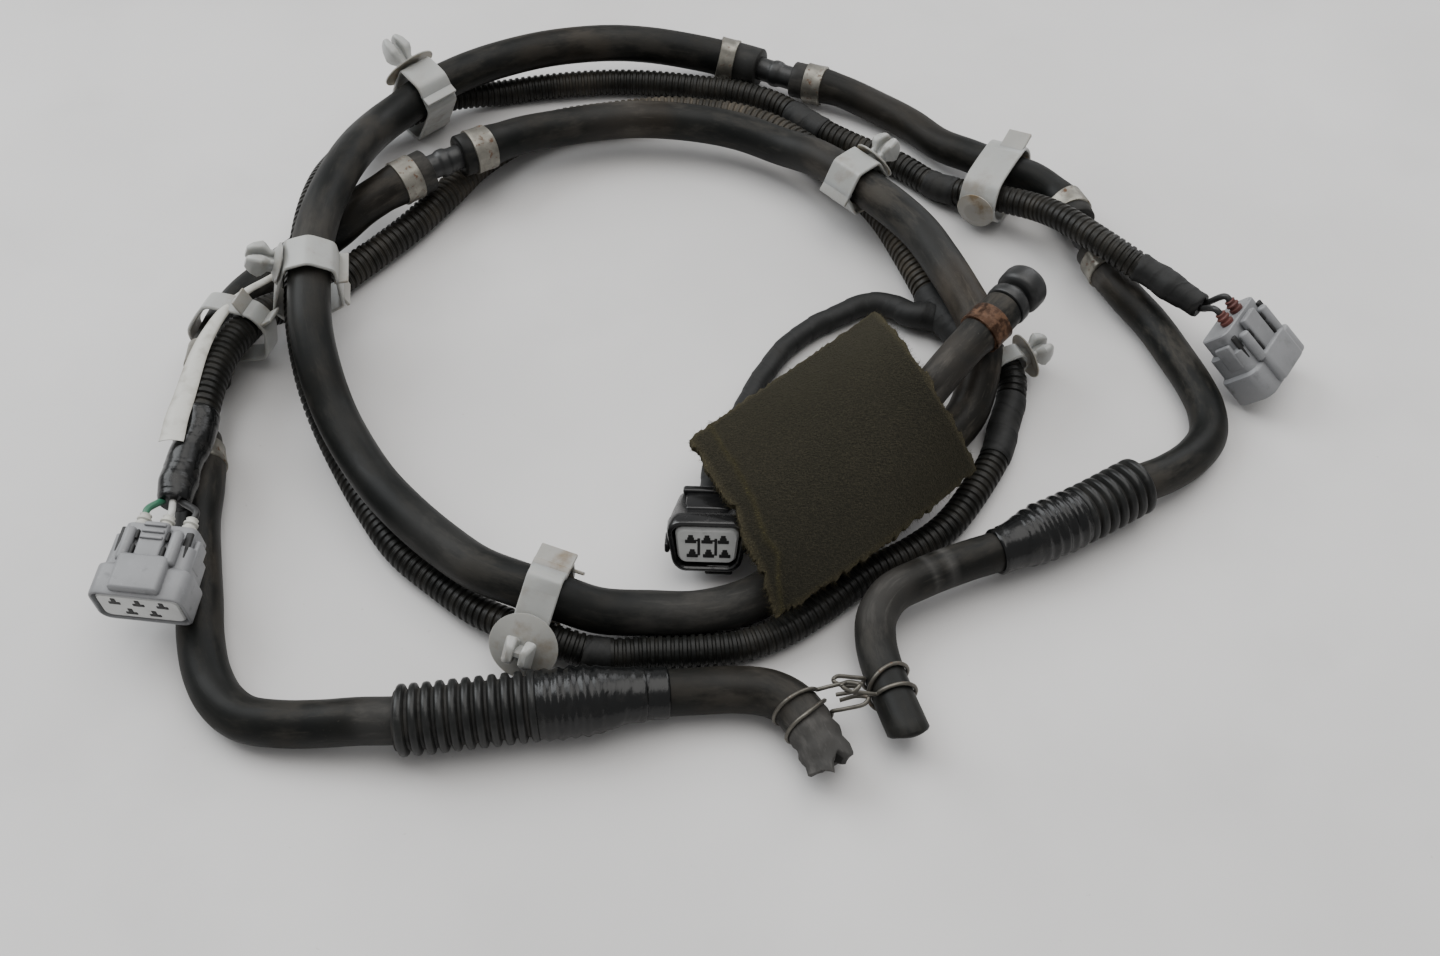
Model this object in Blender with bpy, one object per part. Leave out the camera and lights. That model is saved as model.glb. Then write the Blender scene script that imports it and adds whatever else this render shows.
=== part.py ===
"""Front-end hose and wiring harness, coiled as it lies on a table.

Metres, +Z up. The layout below is in millimetres, +X right, +Y away from the viewer.
The origin is at the middle of the footprint, on the table.
"""
import math

import bmesh
import bpy
import numpy as np
from mathutils import Matrix, Vector

# Layout
MM = 0.001
MIDDLE_X = 7.35
MIDDLE_Y = 0.7
TABLE_Z = -0.25
GAP = 0.3

# Hoses and conduits
HOSE = 14.0
SLIM_HOSE = 12.5
CONDUIT_RIGHT = 10.0
CONDUIT_LEFT = 11.5
BRANCH = 7.0
HOSE_SIDES = 4
CONDUIT_SIDES = 3
STEP_MAX = 18.0
STEP_MIN = 8.0
TURN_MAX = math.radians(17.0)

# Joint tubes and crimp rings
JOINT_TUBE = 9.0
JOINT_COLLAR = 11.0
RING_WALL = 0.8
RING_LENGTH = 7.5
RING_SIDES = 14

# Ribbed sleeves
SLEEVE_OD = 21.0
SLEEVE_PITCH = 3.8
SLIM_SLEEVE_OD = 19.0
SLIM_SLEEVE_PITCH = 3.6
SLEEVE_RIB = 1.5
SLEEVE_BORE_GAP = 0.9
SLEEVE_SIDES = 12

# Push clips
STRAP = 1.3
STRAP_SIDES = 20
BAND_SLACK = 0.8
FLANGE_WALL = 1.4
PLUG = 11.0
NECK = 7.0
SLOT = 1.6

# Spring wire clamps
WIRE = 1.3

# Connector housings
GREY_WIDTH = 29.0
GREY_HEIGHT = 16.0
GREY_LENGTH = 26.0
LATCH = (9.0, 2.6, 15.0)
RAIL = (1.6, 2.0, 17.0)
RAIL_OUT = 8.0
RIDGE = (8.0, 1.0, 1.2)
BLACK_WIDTH = 25.0
BLACK_HEIGHT = 19.0
BLACK_LENGTH = 22.0
BLACK_BAR = (17.0, 2.4, 4.0)
BLACK_LOCK = (9.0, 2.4, 9.0)
SOCKET_WALL = 1.8
SOCKET_DEPTH = 7.0
INSERT_GAP = 1.0
INSERT_SUNK = 1.0
TERMINAL = 1.7
PORT_DEPTH = 4.0
LEAD = 2.2
SEAL = 4.4
SEAL_LENGTH = 4.0

# Felt pad
FELT = 3.0

RIGHT_OUTER = [
    (37, -73, 9), (25, -89.5, 8), (10.5, -101, 7.2), (-6, -106.2, 7.2), (-21, -107, 8.4),
    (-36.7, -107.7, 11), (-48.9, -105.9, 15.7), (-60.9, -103.1, 18.7), (-72.7, -97.8, 18.7),
    (-85.2, -88.2, 18.5), (-96.3, -77.9, 18.5), (-107, -65.9, 18.5), (-116.5, -52.1, 19),
    (-123.7, -39.9, 22), (-129.2, -27.3, 28), (-133, -14.6, 33), (-135, -2.5, 36),
    (-136.3, 13.9, 39), (-136, 31.5, 39.5), (-134, 51.8, 37.5), (-131.3, 75.1, 31),
    (-126.8, 96.4, 23.5), (-119.4, 109.1, 21.5), (-110.5, 120.4, 21.5), (-98.4, 131.8, 20.5),
    (-84.3, 141.6, 19), (-67, 148.5, 18.5), (-45, 153, 17.5), (-28, 155, 15), (-8, 155, 11),
    (7, 153, 8.3), (16, 149, 8.3)]
CONDUIT_R = [
    (88.5, 0.5, 8), (95.3, -5.2, 8.2), (98.7, -13, 7.6), (97.6, -21.9, 6), (94.2, -32.5, 5), (90.9, -43.1, 5),
    (83.4, -56.7, 5), (72.3, -72.3, 5), (60.5, -82, 5), (45.5, -91, 5), (30.5, -103.5, 5),
    (19, -111.4, 5), (7, -116.4, 5), (-6.1, -118.2, 5), (-21, -118.9, 5), (-36, -119.8, 6),
    (-48, -117.4, 8.5), (-60.5, -112.4, 8.5), (-73.5, -105, 6.2), (-86.5, -94.5, 5),
    (-100.5, -82, 5), (-111.9, -65.9, 5), (-121.7, -49.4, 5.5), (-129.3, -35.6, 8.5),
    (-135, -23, 14), (-139.5, -8.5, 19), (-143, 9, 22.5), (-144.5, 26.5, 24),
    (-144.4, 45.2, 26.2), (-143.1, 64.9, 24.4), (-140.4, 90.2, 14.8), (-134.5, 110.5, 8.6),
    (-124, 119.5, 8.1), (-106.5, 131, 7.9), (-87, 138, 5), (-67.5, 142, 5), (-45.5, 144.5, 5),
    (-28, 144, 5), (-8, 141, 5), (8, 137.5, 5), (22, 131, 5), (37, 117.5, 5), (51, 107, 5),
    (67.5, 96.5, 5), (82.5, 83, 5.5), (99, 72.5, 10.9), (114.5, 62.5, 15), (122.5, 52, 19.5),
    (134.5, 36.5, 22.2), (146, 26, 20.8)]
LEFT_INNER = [
    (64, -48, 8.5), (75, -38.5, 8.5), (82, -29.5, 10), (85.5, -20.5, 14.5), (87.3, -10, 20),
    (86, 3, 21), (82.5, 15.5, 20.5), (77, 31, 20), (70, 46, 20), (55.5, 64.5, 20),
    (37, 84.5, 18), (22.5, 96, 14.5), (7.5, 104.5, 14), (-7.5, 109, 14), (-27, 111.5, 14),
    (-43.5, 110.5, 14), (-61, 106, 14.5), (-75.5, 98.5, 17.2), (-89, 87.5, 20.3),
    (-96, 83, 20.8)]
LEFT_MID = [
    (-107, 76, 20.8), (-119, 66.5, 20.6), (-129, 58.5, 18.8), (-138.5, 51.5, 14),
    (-151.5, 44, 8.6), (-161, 34, 7.4), (-168, 22.5, 8.2), (-171.5, 8, 10.2),
    (-173.5, -5, 9), (-173, -15, 8.5)]
LEFT_END = [
    (-171.5, -40, 8.3), (-166.5, -57, 8.3), (-165.3, -72, 7.5), (-162.4, -86.5, 7.2),
    (-159, -101.5, 7), (-156, -115.5, 7), (-151.5, -128, 7), (-145.5, -137, 7.2),
    (-138, -142.5, 7.5), (-127.5, -144.5, 8), (-115.5, -145, 9), (-104, -145, 10.5),
    (-92.5, -145, 11), (-75, -143, 11), (-52, -140, 11), (-35, -138, 11), (-26, -136.5, 10.5),
    (-16, -135, 9.2), (-6, -134, 8.5), (6, -133.5, 8.5), (15, -135, 8.7), (22, -139.5, 8.8),
    (26.5, -147, 8.8), (32, -157.5, 8.8)]
RIGHT_MID = [
    (29, 142.5, 8.3), (46, 136, 8.3), (62.5, 126, 7), (73.5, 117, 7), (84, 104.2, 8),
    (94.5, 96, 9.6), (106.4, 87.9, 10.4), (116.8, 83.3, 9.6), (124.1, 77.3, 8), (129, 69, 7.8),
    (131, 61.5, 7.8)]
RIGHT_END = [
    (135, 48, 7.8), (141.5, 28.5, 7.8), (150.5, 13, 6.5), (156, -1.5, 6.5),
    (160.5, -15, 6.5), (162.5, -26, 6.5), (161, -37, 6.5), (154, -46.5, 7.2),
    (144, -54.5, 9), (134, -60, 10.4), (117, -70, 10.4), (100, -79, 10.4),
    (88.5, -85, 10.8), (74.5, -91, 12), (61.5, -97.5, 13.2), (51.5, -103.5, 13.2),
    (47, -110.5, 11.5), (46.5, -117, 9.3), (47.5, -123.5, 8), (50.5, -135, 8),
    (54.5, -147.5, 8)]
FEED = [
    (55, -43, 17), (60, -39, 20), (66, -34.5, 24.5), (73, -28, 30), (80, -21, 33.5),
    (87, -13.5, 34.5), (93, -6, 34.5)]
CONDUIT_L = [
    (-166.5, -44, 22.4), (-166.5, -32.5, 22.6), (-166, -22, 22), (-164.5, -11, 20.5),
    (-161.5, -1, 18.4), (-158, 8, 16), (-153.5, 14.5, 13), (-147.5, 20.5, 9), (-140.5, 29, 6.2),
    (-132, 39.5, 6), (-123, 50, 6), (-112.5, 63, 6), (-102, 79, 6), (-91.5, 96, 6),
    (-77, 110, 6), (-62, 118.5, 6), (-44.5, 122.5, 6), (-21, 126, 6), (-8, 125, 6),
    (8, 121.5, 6), (21.5, 114.5, 6), (32.5, 105, 6), (42.5, 94, 6), (53, 79.5, 6),
    (61, 65.5, 6), (66.5, 51.5, 6), (72.5, 34, 6), (75.5, 24, 6)]
BRANCH_ROUTE = [
    (66.3, 18, 6), (59.8, 23.2, 4.6), (51.4, 24.6, 3.8), (41.8, 19.3, 3.8), (31.4, 12.8, 3.8),
    (22.4, 3.8, 3.8), (15.1, -8.1, 4.4), (9.7, -20.4, 6), (4.5, -35, 8), (-1.2, -46, 7.4),
    (-2.8, -57.3, 6.6), (-3.1, -66.4, 8.8)]
RIGHT_LEAD = [(151.2, 21.5, 20.5), (157.7, 14.9, 20), (164.2, 8.8, 19.5)]
LEFT_TAPE = [(-167, -55, 22.4), (-168, -66, 22.2), (-168, -76, 22)]

# Each clip's place, the way its plug points, band width, flange, plug length and reach
CLIPS = {
    "clip_top_left": ((-114, 120, 14), (-0.6, 0.7, 0.55), 13.0, 21.0, 12.0, 1.6),
    "clip_crossing": ((-139, 10, 30), (-1.0, 0.35, 0.5), 12.0, 13.0, 9.0, 1.6),
    "clip_front": ((-54, -108, 9), (-0.1, -0.84, 0.56), 10.0, 21.0, 7.0, 2.0),
    "clip_top_right": ((49, 71, 18), (0.7, 0.7, 0.45), 13.0, 16.0, 9.0, 1.6),
    "clip_far_right": ((103, 81, 8), (-0.4, -0.75, 0.0), 14.0, 12.0, 0.0, 1.4),
    "clip_right": ((96.8, -8, 8), (1.0, 0.4, 0.15), 6.0, 13.0, 8.0, 1.6)}
SADDLE_PLACE = (-164, 3, 12)
SADDLE_WIDTH = 8.0

LEFT_CONNECTOR = (-168.5, -101.5, 22.8)
LEFT_FACING = (-0.12, -1.0, -0.06)
RIGHT_CONNECTOR = (179.3, -5.1, 14.2)
RIGHT_FACING = (0.66, -0.47, -0.58)
BLACK_CONNECTOR = (-3.7, -77.9, 12.6)
BLACK_FACING = (-0.03, -0.95, 0.31)

LEFT_SLEEVE = [(-93, -145, 11), (-52, -140, 11), (-28, -136.8, 11)]
RIGHT_SLEEVE = [(134, -60, 10.4), (112, -73, 10.4), (90, -84, 10.6)]

PAD_ROWS = [
    [(53.7, 11.3, 13.5), (20.5, -21, 17), (-9.6, -53, 24)],
    [(64.5, -33.5, 35), (37, -57, 29), (5.4, -88.5, 26.9)],
    [(81, -56.5, 14.5), (49, -91, 20.5), (16.4, -114, 17.5)]]


def mm(point):
    """Turns a layout point in millimetres into the part's metres."""
    x, y, z = point
    return Vector(((x - MIDDLE_X) * MM, (y - MIDDLE_Y) * MM, (z - TABLE_Z) * MM))


def material(name, colour, roughness, metallic=0.0):
    """Gives a plain Principled material, made once for each name."""
    found = bpy.data.materials.get(name)
    if found:
        return found
    made = bpy.data.materials.new(name)
    made.use_nodes = True
    shader = made.node_tree.nodes["Principled BSDF"]
    shader.inputs["Base Color"].default_value = (*colour, 1.0)
    shader.inputs["Roughness"].default_value = roughness
    shader.inputs["Metallic"].default_value = metallic
    return made


def add(name, mesh, look, smooth_below=None):
    """Puts a mesh in the scene as one named piece."""
    piece = bpy.data.objects.new(name, mesh)
    bpy.context.scene.collection.objects.link(piece)
    mesh.materials.append(look)
    if smooth_below is not None:
        mesh.shade_smooth()
        mesh.set_sharp_from_angle(angle=math.radians(smooth_below))
    return piece


def finish(name, work, look, smooth_below=None):
    """Turns a bmesh into a piece with its faces pointing out."""
    bmesh.ops.recalc_face_normals(work, faces=work.faces)
    if work.calc_volume(signed=True) < 0:
        bmesh.ops.reverse_faces(work, faces=work.faces)
    mesh = bpy.data.meshes.new(name)
    work.to_mesh(mesh)
    work.free()
    return add(name, mesh, look, smooth_below)


def smooth_route(points):
    """A centripetal curve through the route's points, one point each half millimetre."""
    given = np.array(points, float)
    padded = np.vstack([2 * given[0] - given[1], given, 2 * given[-1] - given[-2]])
    run = []
    for i in range(1, len(padded) - 2):
        a, b, c, d = padded[i - 1:i + 3]
        knots = np.cumsum([0.0] + [math.sqrt(np.linalg.norm(q - p))
                                   for p, q in ((a, b), (b, c), (c, d))])
        count = max(2, int(np.linalg.norm(c - b) / 0.5))
        t = np.linspace(knots[1], knots[2], count, endpoint=False)[:, None]
        ab = (knots[1] - t) / (knots[1] - knots[0]) * a + (t - knots[0]) / (knots[1] - knots[0]) * b
        bc = (knots[2] - t) / (knots[2] - knots[1]) * b + (t - knots[1]) / (knots[2] - knots[1]) * c
        cd = (knots[3] - t) / (knots[3] - knots[2]) * c + (t - knots[2]) / (knots[3] - knots[2]) * d
        abc = (knots[2] - t) / (knots[2] - knots[0]) * ab + (t - knots[0]) / (knots[2] - knots[0]) * bc
        bcd = (knots[3] - t) / (knots[3] - knots[1]) * bc + (t - knots[1]) / (knots[3] - knots[1]) * cd
        run.append((knots[2] - t) / (knots[2] - knots[1]) * abc
                   + (t - knots[1]) / (knots[2] - knots[1]) * bcd)
    return np.vstack(run + [given[-1:]])


def spaced(points):
    """Thins a route to points that are closer where it bends more."""
    fine = smooth_route(points)
    steps = np.linalg.norm(np.diff(fine, axis=0), axis=1)
    heading = np.diff(fine, axis=0) / steps[:, None]
    kept, since, last = [fine[0]], 0.0, heading[0]
    left = steps.sum()
    for i in range(1, len(fine) - 1):
        since += steps[i - 1]
        left -= steps[i - 1]
        turn = math.acos(min(1.0, float(last @ heading[i])))
        if left > STEP_MIN and since > STEP_MIN and (since > STEP_MAX or turn > TURN_MAX):
            kept.append(fine[i])
            since, last = 0.0, heading[i]
    return np.array(kept + [fine[-1]])


def rod(name, points, diameter, look, sides):
    """A hose, conduit or taped lead as a curve with filled ends."""
    curve = bpy.data.curves.new(name, "CURVE")
    curve.dimensions = "3D"
    curve.bevel_depth = diameter / 2 * MM
    curve.bevel_resolution = sides
    curve.use_fill_caps = True
    curve.resolution_u = 1
    curve.render_resolution_u = 0
    spline = curve.splines.new("POLY")
    spline.points.add(len(points) - 1)
    for target, point in zip(spline.points, points):
        target.co = (*mm(point), 1.0)
    curve.materials.append(look)
    piece = bpy.data.objects.new(name, curve)
    bpy.context.scene.collection.objects.link(piece)
    return piece


def tapered(name, points, radii, look, sides):
    """A solid through a few points, with its own radius at each and square ends."""
    spots = [Vector(point) for point in points]
    runs = [(b - a).normalized() for a, b in zip(spots, spots[1:])]
    ways = [runs[0]] + [(a + b).normalized() for a, b in zip(runs, runs[1:])] + [runs[-1]]
    work = bmesh.new()
    side = ways[0].orthogonal().normalized()
    loops = []
    for spot, way, radius in zip(spots, ways, radii):
        side = (side - way * side.dot(way)).normalized()
        across = way.cross(side)
        loops.append([work.verts.new(mm(spot + radius * (math.cos(a) * side + math.sin(a) * across)))
                      for a in np.linspace(0, 2 * math.pi, sides, endpoint=False)])
    for a, b in zip(loops, loops[1:]):
        for k in range(sides):
            n = (k + 1) % sides
            work.faces.new((a[k], a[n], b[n], b[k]))
    work.faces.new(loops[0][::-1])
    work.faces.new(loops[-1])
    return finish(name, work, look, 40.0)


def beyond(points, end, reach):
    """A point past a route's end, in line with its last run: end is 0 or -1."""
    tip, before = (points[0], points[1]) if end == 0 else (points[-1], points[-2])
    way = (tip - before) / np.linalg.norm(tip - before)
    return Vector(tip + way * reach)


def along_route(points, place):
    """How far along a route the point nearest to a place lies."""
    fine = smooth_route(points)
    near = int(np.linalg.norm(fine - np.array(place), axis=1).argmin())
    return float(np.linalg.norm(np.diff(fine[:near + 1], axis=0), axis=1).sum())


def seat(points, along):
    """The middle and heading of the straight run that lies nearest to a distance along."""
    lengths = np.linalg.norm(np.diff(points, axis=0), axis=1)
    middles = np.cumsum(lengths) - lengths / 2
    if along < 0:
        along += lengths.sum()
    k = int(np.abs(middles - along).argmin())
    return (points[k] + points[k + 1]) / 2, (points[k + 1] - points[k]) / lengths[k]


def frame_at(place, heading, up=(0.0, 0.0, 1.0)):
    """A matrix whose Z follows the heading and whose X leans towards up."""
    z = Vector(heading).normalized()
    x = Vector(up) - z * Vector(up).dot(z)
    x = x.normalized() if x.length > 0.01 else z.orthogonal().normalized()
    return Matrix.Translation(mm(place)) @ Matrix((x, z.cross(x), z)).transposed().to_4x4()


def turned(name, profile, place, heading, look, sides, smooth_below=40.0):
    """Spins a profile of (along, radius) points about the heading."""
    work = bmesh.new()
    ring = [work.verts.new((radius * MM, 0.0, along * MM)) for along, radius in profile]
    closed = profile[0][1] > 0.0
    edges = [work.edges.new(pair) for pair in zip(ring, ring[1:] + ring[:1] if closed else ring[1:])]
    bmesh.ops.spin(work, geom=ring + edges, axis=(0, 0, 1), cent=(0, 0, 0), steps=sides,
                   angle=2 * math.pi, use_merge=True)
    bmesh.ops.remove_doubles(work, verts=work.verts, dist=1e-6)
    work.transform(frame_at(place, heading))
    return finish(name, work, look, smooth_below)


def crimp_ring(name, points, along, hose, look):
    """A pressed ring round a hose, on a straight run of it."""
    place, heading = seat(points, along)
    inner = hose / 2 + GAP
    outer = inner + RING_WALL
    half = RING_LENGTH / 2
    bead = RING_WALL / 3
    profile = [(-half, inner), (-half, outer - bead), (-half + bead, outer), (half - bead, outer),
               (half, outer - bead), (half, inner)]
    return turned(name, profile, place, heading, look, RING_SIDES)


def sleeve_tube(name, points, start, end, rings, bore, look):
    """A tube round a hose, whose outer radius follows rings of (share, radius)."""
    fine = smooth_route(points)
    lengths = np.concatenate([[0], np.cumsum(np.linalg.norm(np.diff(fine, axis=0), axis=1))])
    work = bmesh.new()

    def ring(share, radius):
        at = start + (end - start) * share
        place, ahead, behind = (Vector([np.interp(spot, lengths, fine[:, k]) for k in range(3)])
                                for spot in (at, at + 1.0, at - 1.0))
        heading = (ahead - behind).normalized()
        side = (Vector((0, 0, 1)) - heading * heading.z).normalized()
        across = heading.cross(side)
        return [work.verts.new(mm(place + radius * (math.cos(a) * side + math.sin(a) * across)))
                for a in np.linspace(0, 2 * math.pi, SLEEVE_SIDES, endpoint=False)]

    chain = [ring(share, radius) for share, radius in rings]
    chain += [ring(share, bore) for share in np.linspace(1.0, 0.0, 6)]
    for a, b in zip(chain, chain[1:] + chain[:1]):
        for k in range(SLEEVE_SIDES):
            n = (k + 1) % SLEEVE_SIDES
            work.faces.new((a[k], a[n], b[n], b[k]))
    return finish(name, work, look, 35.0)


def ribs(length, pitch, outer, depth):
    """Rings of (share, radius) for a ribbed sleeve: narrow grooves between flat crests."""
    count = max(2, round(length / pitch))
    rings = []
    for k in range(count):
        rings += [(k / count, outer - depth), ((k + 0.3) / count, outer), ((k + 0.8) / count, outer)]
    return rings + [(1.0, outer - depth)]


def taped_ribs(length, pitch, outer, depth):
    """Softer ribs that show through the tape wound over a sleeve."""
    count = max(2, round(length / pitch))
    rings = []
    for k in range(count):
        rings += [(k / count, outer - depth), ((k + 0.5) / count, outer)]
    return rings + [(1.0, outer - depth)]


def box(name, size, place, facing, look, bevel=0.0, up=(0.0, 0.0, 1.0), segments=2):
    """A block whose length follows the facing, with its width level and its edges rounded."""
    width, height, length = size
    work = bmesh.new()
    bmesh.ops.create_cube(work, size=1.0)
    work.transform(Matrix.Diagonal((height * MM, width * MM, length * MM, 1.0)))
    if bevel:
        along = [e for e in work.edges if abs(e.verts[0].co.z - e.verts[1].co.z) > 0.5 * length * MM]
        bmesh.ops.bevel(work, geom=along, offset=bevel * MM, segments=segments, profile=0.5,
                        affect="EDGES", clamp_overlap=True)
    work.transform(frame_at(place, facing, up))
    return finish(name, work, look, 35.0)


def combine(base, helper, operation):
    """Joins a helper shape to a piece, or cuts it out of it."""
    step = base.modifiers.new(operation.lower(), "BOOLEAN")
    step.operation = operation
    step.solver = "EXACT"
    step.object = helper
    helper.hide_render = True
    helper.display_type = "WIRE"


def local(place, facing, offset, up=(0.0, 0.0, 1.0)):
    """A layout point at (across, above, ahead) of a connector's own middle."""
    turn = frame_at(place, facing, up)
    across, above, ahead = offset
    moved = turn @ Vector((above * MM, across * MM, ahead * MM))
    return (moved.x / MM + MIDDLE_X, moved.y / MM + MIDDLE_Y, moved.z / MM + TABLE_Z)


def gripped(routes, place, width):
    """The middles and radii of the cords a band holds near a place, and the band's heading."""
    spots, ways = [], []
    for points, diameter in routes:
        fine = smooth_route(points)
        near = int(np.linalg.norm(fine - np.array(place), axis=1).argmin())
        way = fine[min(near + 6, len(fine) - 1)] - fine[max(near - 6, 0)]
        ways.append(way / np.linalg.norm(way))
        if ways[0] @ ways[-1] < 0:
            ways[-1] = -ways[-1]
        spots.append(fine[near])
    heading = np.mean(ways, axis=0)
    heading /= np.linalg.norm(heading)
    middle = np.mean(spots, axis=0)
    held = []
    for (points, diameter), spot, way in zip(routes, spots, ways):
        spot = spot + way * ((middle - spot) @ heading) / (way @ heading)
        slant = math.sqrt(max(0.0, 1.0 - (way @ heading) ** 2)) * width / 2
        held.append((tuple(spot), diameter / 2 + slant + BAND_SLACK))
    return held, tuple(middle), tuple(heading)


def strap(name, held, place, heading, width, look):
    """A band pulled round the cords it holds: held lists (centre, radius)."""
    turn = frame_at(place, heading)
    flat = [(turn.inverted() @ mm(centre), radius * MM) for centre, radius in held]
    work = bmesh.new()
    loops = [[], [], [], []]
    for a in np.linspace(0, 2 * math.pi, STRAP_SIDES, endpoint=False):
        way = Vector((math.cos(a), math.sin(a), 0.0))
        centre, radius = max(flat, key=lambda item: item[0].dot(way) + item[1])
        base = Vector((centre.x, centre.y, 0.0)) + way * (radius + GAP * MM)
        for loop, thick, end in zip(loops, (0, STRAP, STRAP, 0), (-1, -1, 1, 1)):
            loop.append(work.verts.new(base + way * thick * MM + Vector((0, 0, end * width / 2 * MM))))
    for a, b in zip(loops, loops[1:] + loops[:1]):
        for k in range(STRAP_SIDES):
            n = (k + 1) % STRAP_SIDES
            work.faces.new((a[k], a[n], b[n], b[k]))
    work.transform(turn)
    return finish(name, work, look, 35.0)


def push_clip(name, routes, place, outward, width, flange, plug, reach, look):
    """A strap clip: band, stem, flange and split plug, moulded in one."""
    held, middle, heading = gripped(routes, place, width)
    band = strap(name, held, middle, heading, width, look)
    way = Vector(outward)
    way = (way - Vector(heading) * way.dot(Vector(heading))).normalized()
    ahead = Vector(heading)
    centre, radius = max(held, key=lambda item: Vector(item[0]).dot(way) + item[1])
    centre = Vector(centre) + ahead * (Vector(middle) - Vector(centre)).dot(ahead)
    root = centre + way * (radius + GAP + STRAP / 2)
    neck = NECK / 2
    profile = [(0.0, 0.0), (0.0, neck), (reach, neck), (reach, flange / 2),
               (reach + FLANGE_WALL, flange / 2), (reach + FLANGE_WALL, neck)]
    if plug:
        tip = reach + FLANGE_WALL + plug
        shoulder = reach + FLANGE_WALL + plug * 0.35
        profile += [(shoulder, neck), (shoulder + 0.6, PLUG / 2), (tip - 1.0, PLUG / 3), (tip, PLUG / 4),
                    (tip, 0.0)]
    else:
        profile += [(reach + FLANGE_WALL, 0.0)]
    stem = turned(name + "_stem", profile, root, way, look, 12)
    combine(band, stem, "UNION")
    if plug:
        slot = box(name + "_slot", (SLOT, PLUG + 1.0, plug), root + way * (tip - plug * 0.2), way, look)
        combine(band, slot, "DIFFERENCE")
    return band


def spring_clamp(name, points, along, hose, ears, look):
    """A double turn of spring wire round a hose, its two ends bent up as ears."""
    place, heading = seat(points, along)
    turn = frame_at(place, heading)
    radius = hose / 2 + GAP + WIRE / 2
    travel = WIRE + GAP
    course = [(radius + ears, -travel * 1.1, 0.6)]
    for k in range(33):
        share = k / 32
        course.append((radius, travel * 2.2 * (share - 0.5), 0.35 + share * (4 * math.pi - 0.7)))
    course.append((radius + ears, travel * 1.1, 4 * math.pi - 0.6))
    spots = []
    for r, run, angle in course:
        moved = turn @ Vector((r * math.cos(angle) * MM, r * math.sin(angle) * MM, run * MM))
        spots.append((moved.x / MM + MIDDLE_X, moved.y / MM + MIDDLE_Y, moved.z / MM + TABLE_Z))
    return rod(name, spots, WIRE, look, 0)


def felt_sheet(name, rows, thickness, look, count=9):
    """A bent sheet of even thickness through three rows of three points."""
    grid = np.array(rows, float)
    share = np.linspace(0, 1, count)
    weight = np.stack([2 * (share - 0.5) * (share - 1), 4 * share * (1 - share), 2 * share * (share - 0.5)])
    sheet = np.einsum("au,bv,abk->uvk", weight, weight, grid)
    work = bmesh.new()
    for side in (0.5, -0.5):
        for row in sheet:
            for spot in row:
                work.verts.new(mm(spot + np.array([0, 0, side * thickness])))
    work.verts.ensure_lookup_table()
    size = count * count
    for u in range(count - 1):
        for v in range(count - 1):
            a, b, c, d = (u * count + v, (u + 1) * count + v, (u + 1) * count + v + 1, u * count + v + 1)
            work.faces.new([work.verts[k] for k in (a, b, c, d)])
            work.faces.new([work.verts[k + size] for k in (d, c, b, a)])
    rim = ([v for v in range(count)] + [u * count + count - 1 for u in range(1, count)]
           + [size - 1 - v for v in range(1, count)] + [u * count for u in range(count - 2, 0, -1)])
    for a, b in zip(rim, rim[1:] + rim[:1]):
        work.faces.new([work.verts[k] for k in (a, b, b + size, a + size)])
    return finish(name, work, look, 60.0)


def grey_connector(name, place, facing, look, insert_look, ports):
    """A grey housing with a socket, its terminal block, and a latch on top."""
    body = box(name, (GREY_WIDTH, GREY_HEIGHT, GREY_LENGTH), place, facing, look, 3.0)
    socket = box(name + "_socket",
                 (GREY_WIDTH - 2 * SOCKET_WALL, GREY_HEIGHT - 2 * SOCKET_WALL, 2 * SOCKET_DEPTH),
                 local(place, facing, (0, 0, GREY_LENGTH / 2)), facing, look, 2.0)
    combine(body, socket, "DIFFERENCE")
    top = GREY_HEIGHT / 2
    latch = box(name + "_latch", LATCH, local(place, facing, (0, top + 0.9, -4.5)), facing, look, 0.8,
                segments=1)
    combine(body, latch, "UNION")
    for side in (-1, 1):
        rail = box(name + "_rail" + str(side + 1), RAIL,
                   local(place, facing, (side * RAIL_OUT, top + 0.5, -3.5)), facing, look)
        combine(body, rail, "UNION")
    for k in range(3):
        ridge = box(name + "_ridge" + str(k), RIDGE,
                    local(place, facing, (0, top + 2.4, -10.5 + 2 * RIDGE[2] * k)), facing, look)
        combine(body, ridge, "UNION")
    wide, tall = GREY_WIDTH - 2 * SOCKET_WALL, GREY_HEIGHT - 2 * SOCKET_WALL
    mouth = GREY_LENGTH / 2 - INSERT_SUNK
    block_depth = SOCKET_DEPTH - GAP - INSERT_SUNK
    block = box(name + "_block", (wide - 2 * INSERT_GAP, tall - 2 * INSERT_GAP, block_depth),
                local(place, facing, (0, 0, mouth - block_depth / 2)), facing, insert_look, 1.2)
    for k, (across, above) in enumerate(ports):
        hole = box(name + "_port" + str(k), (TERMINAL * 1.3, TERMINAL, PORT_DEPTH),
                   local(place, facing, (across, above, mouth)), facing, look)
        combine(block, hole, "DIFFERENCE")
    return body


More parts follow.
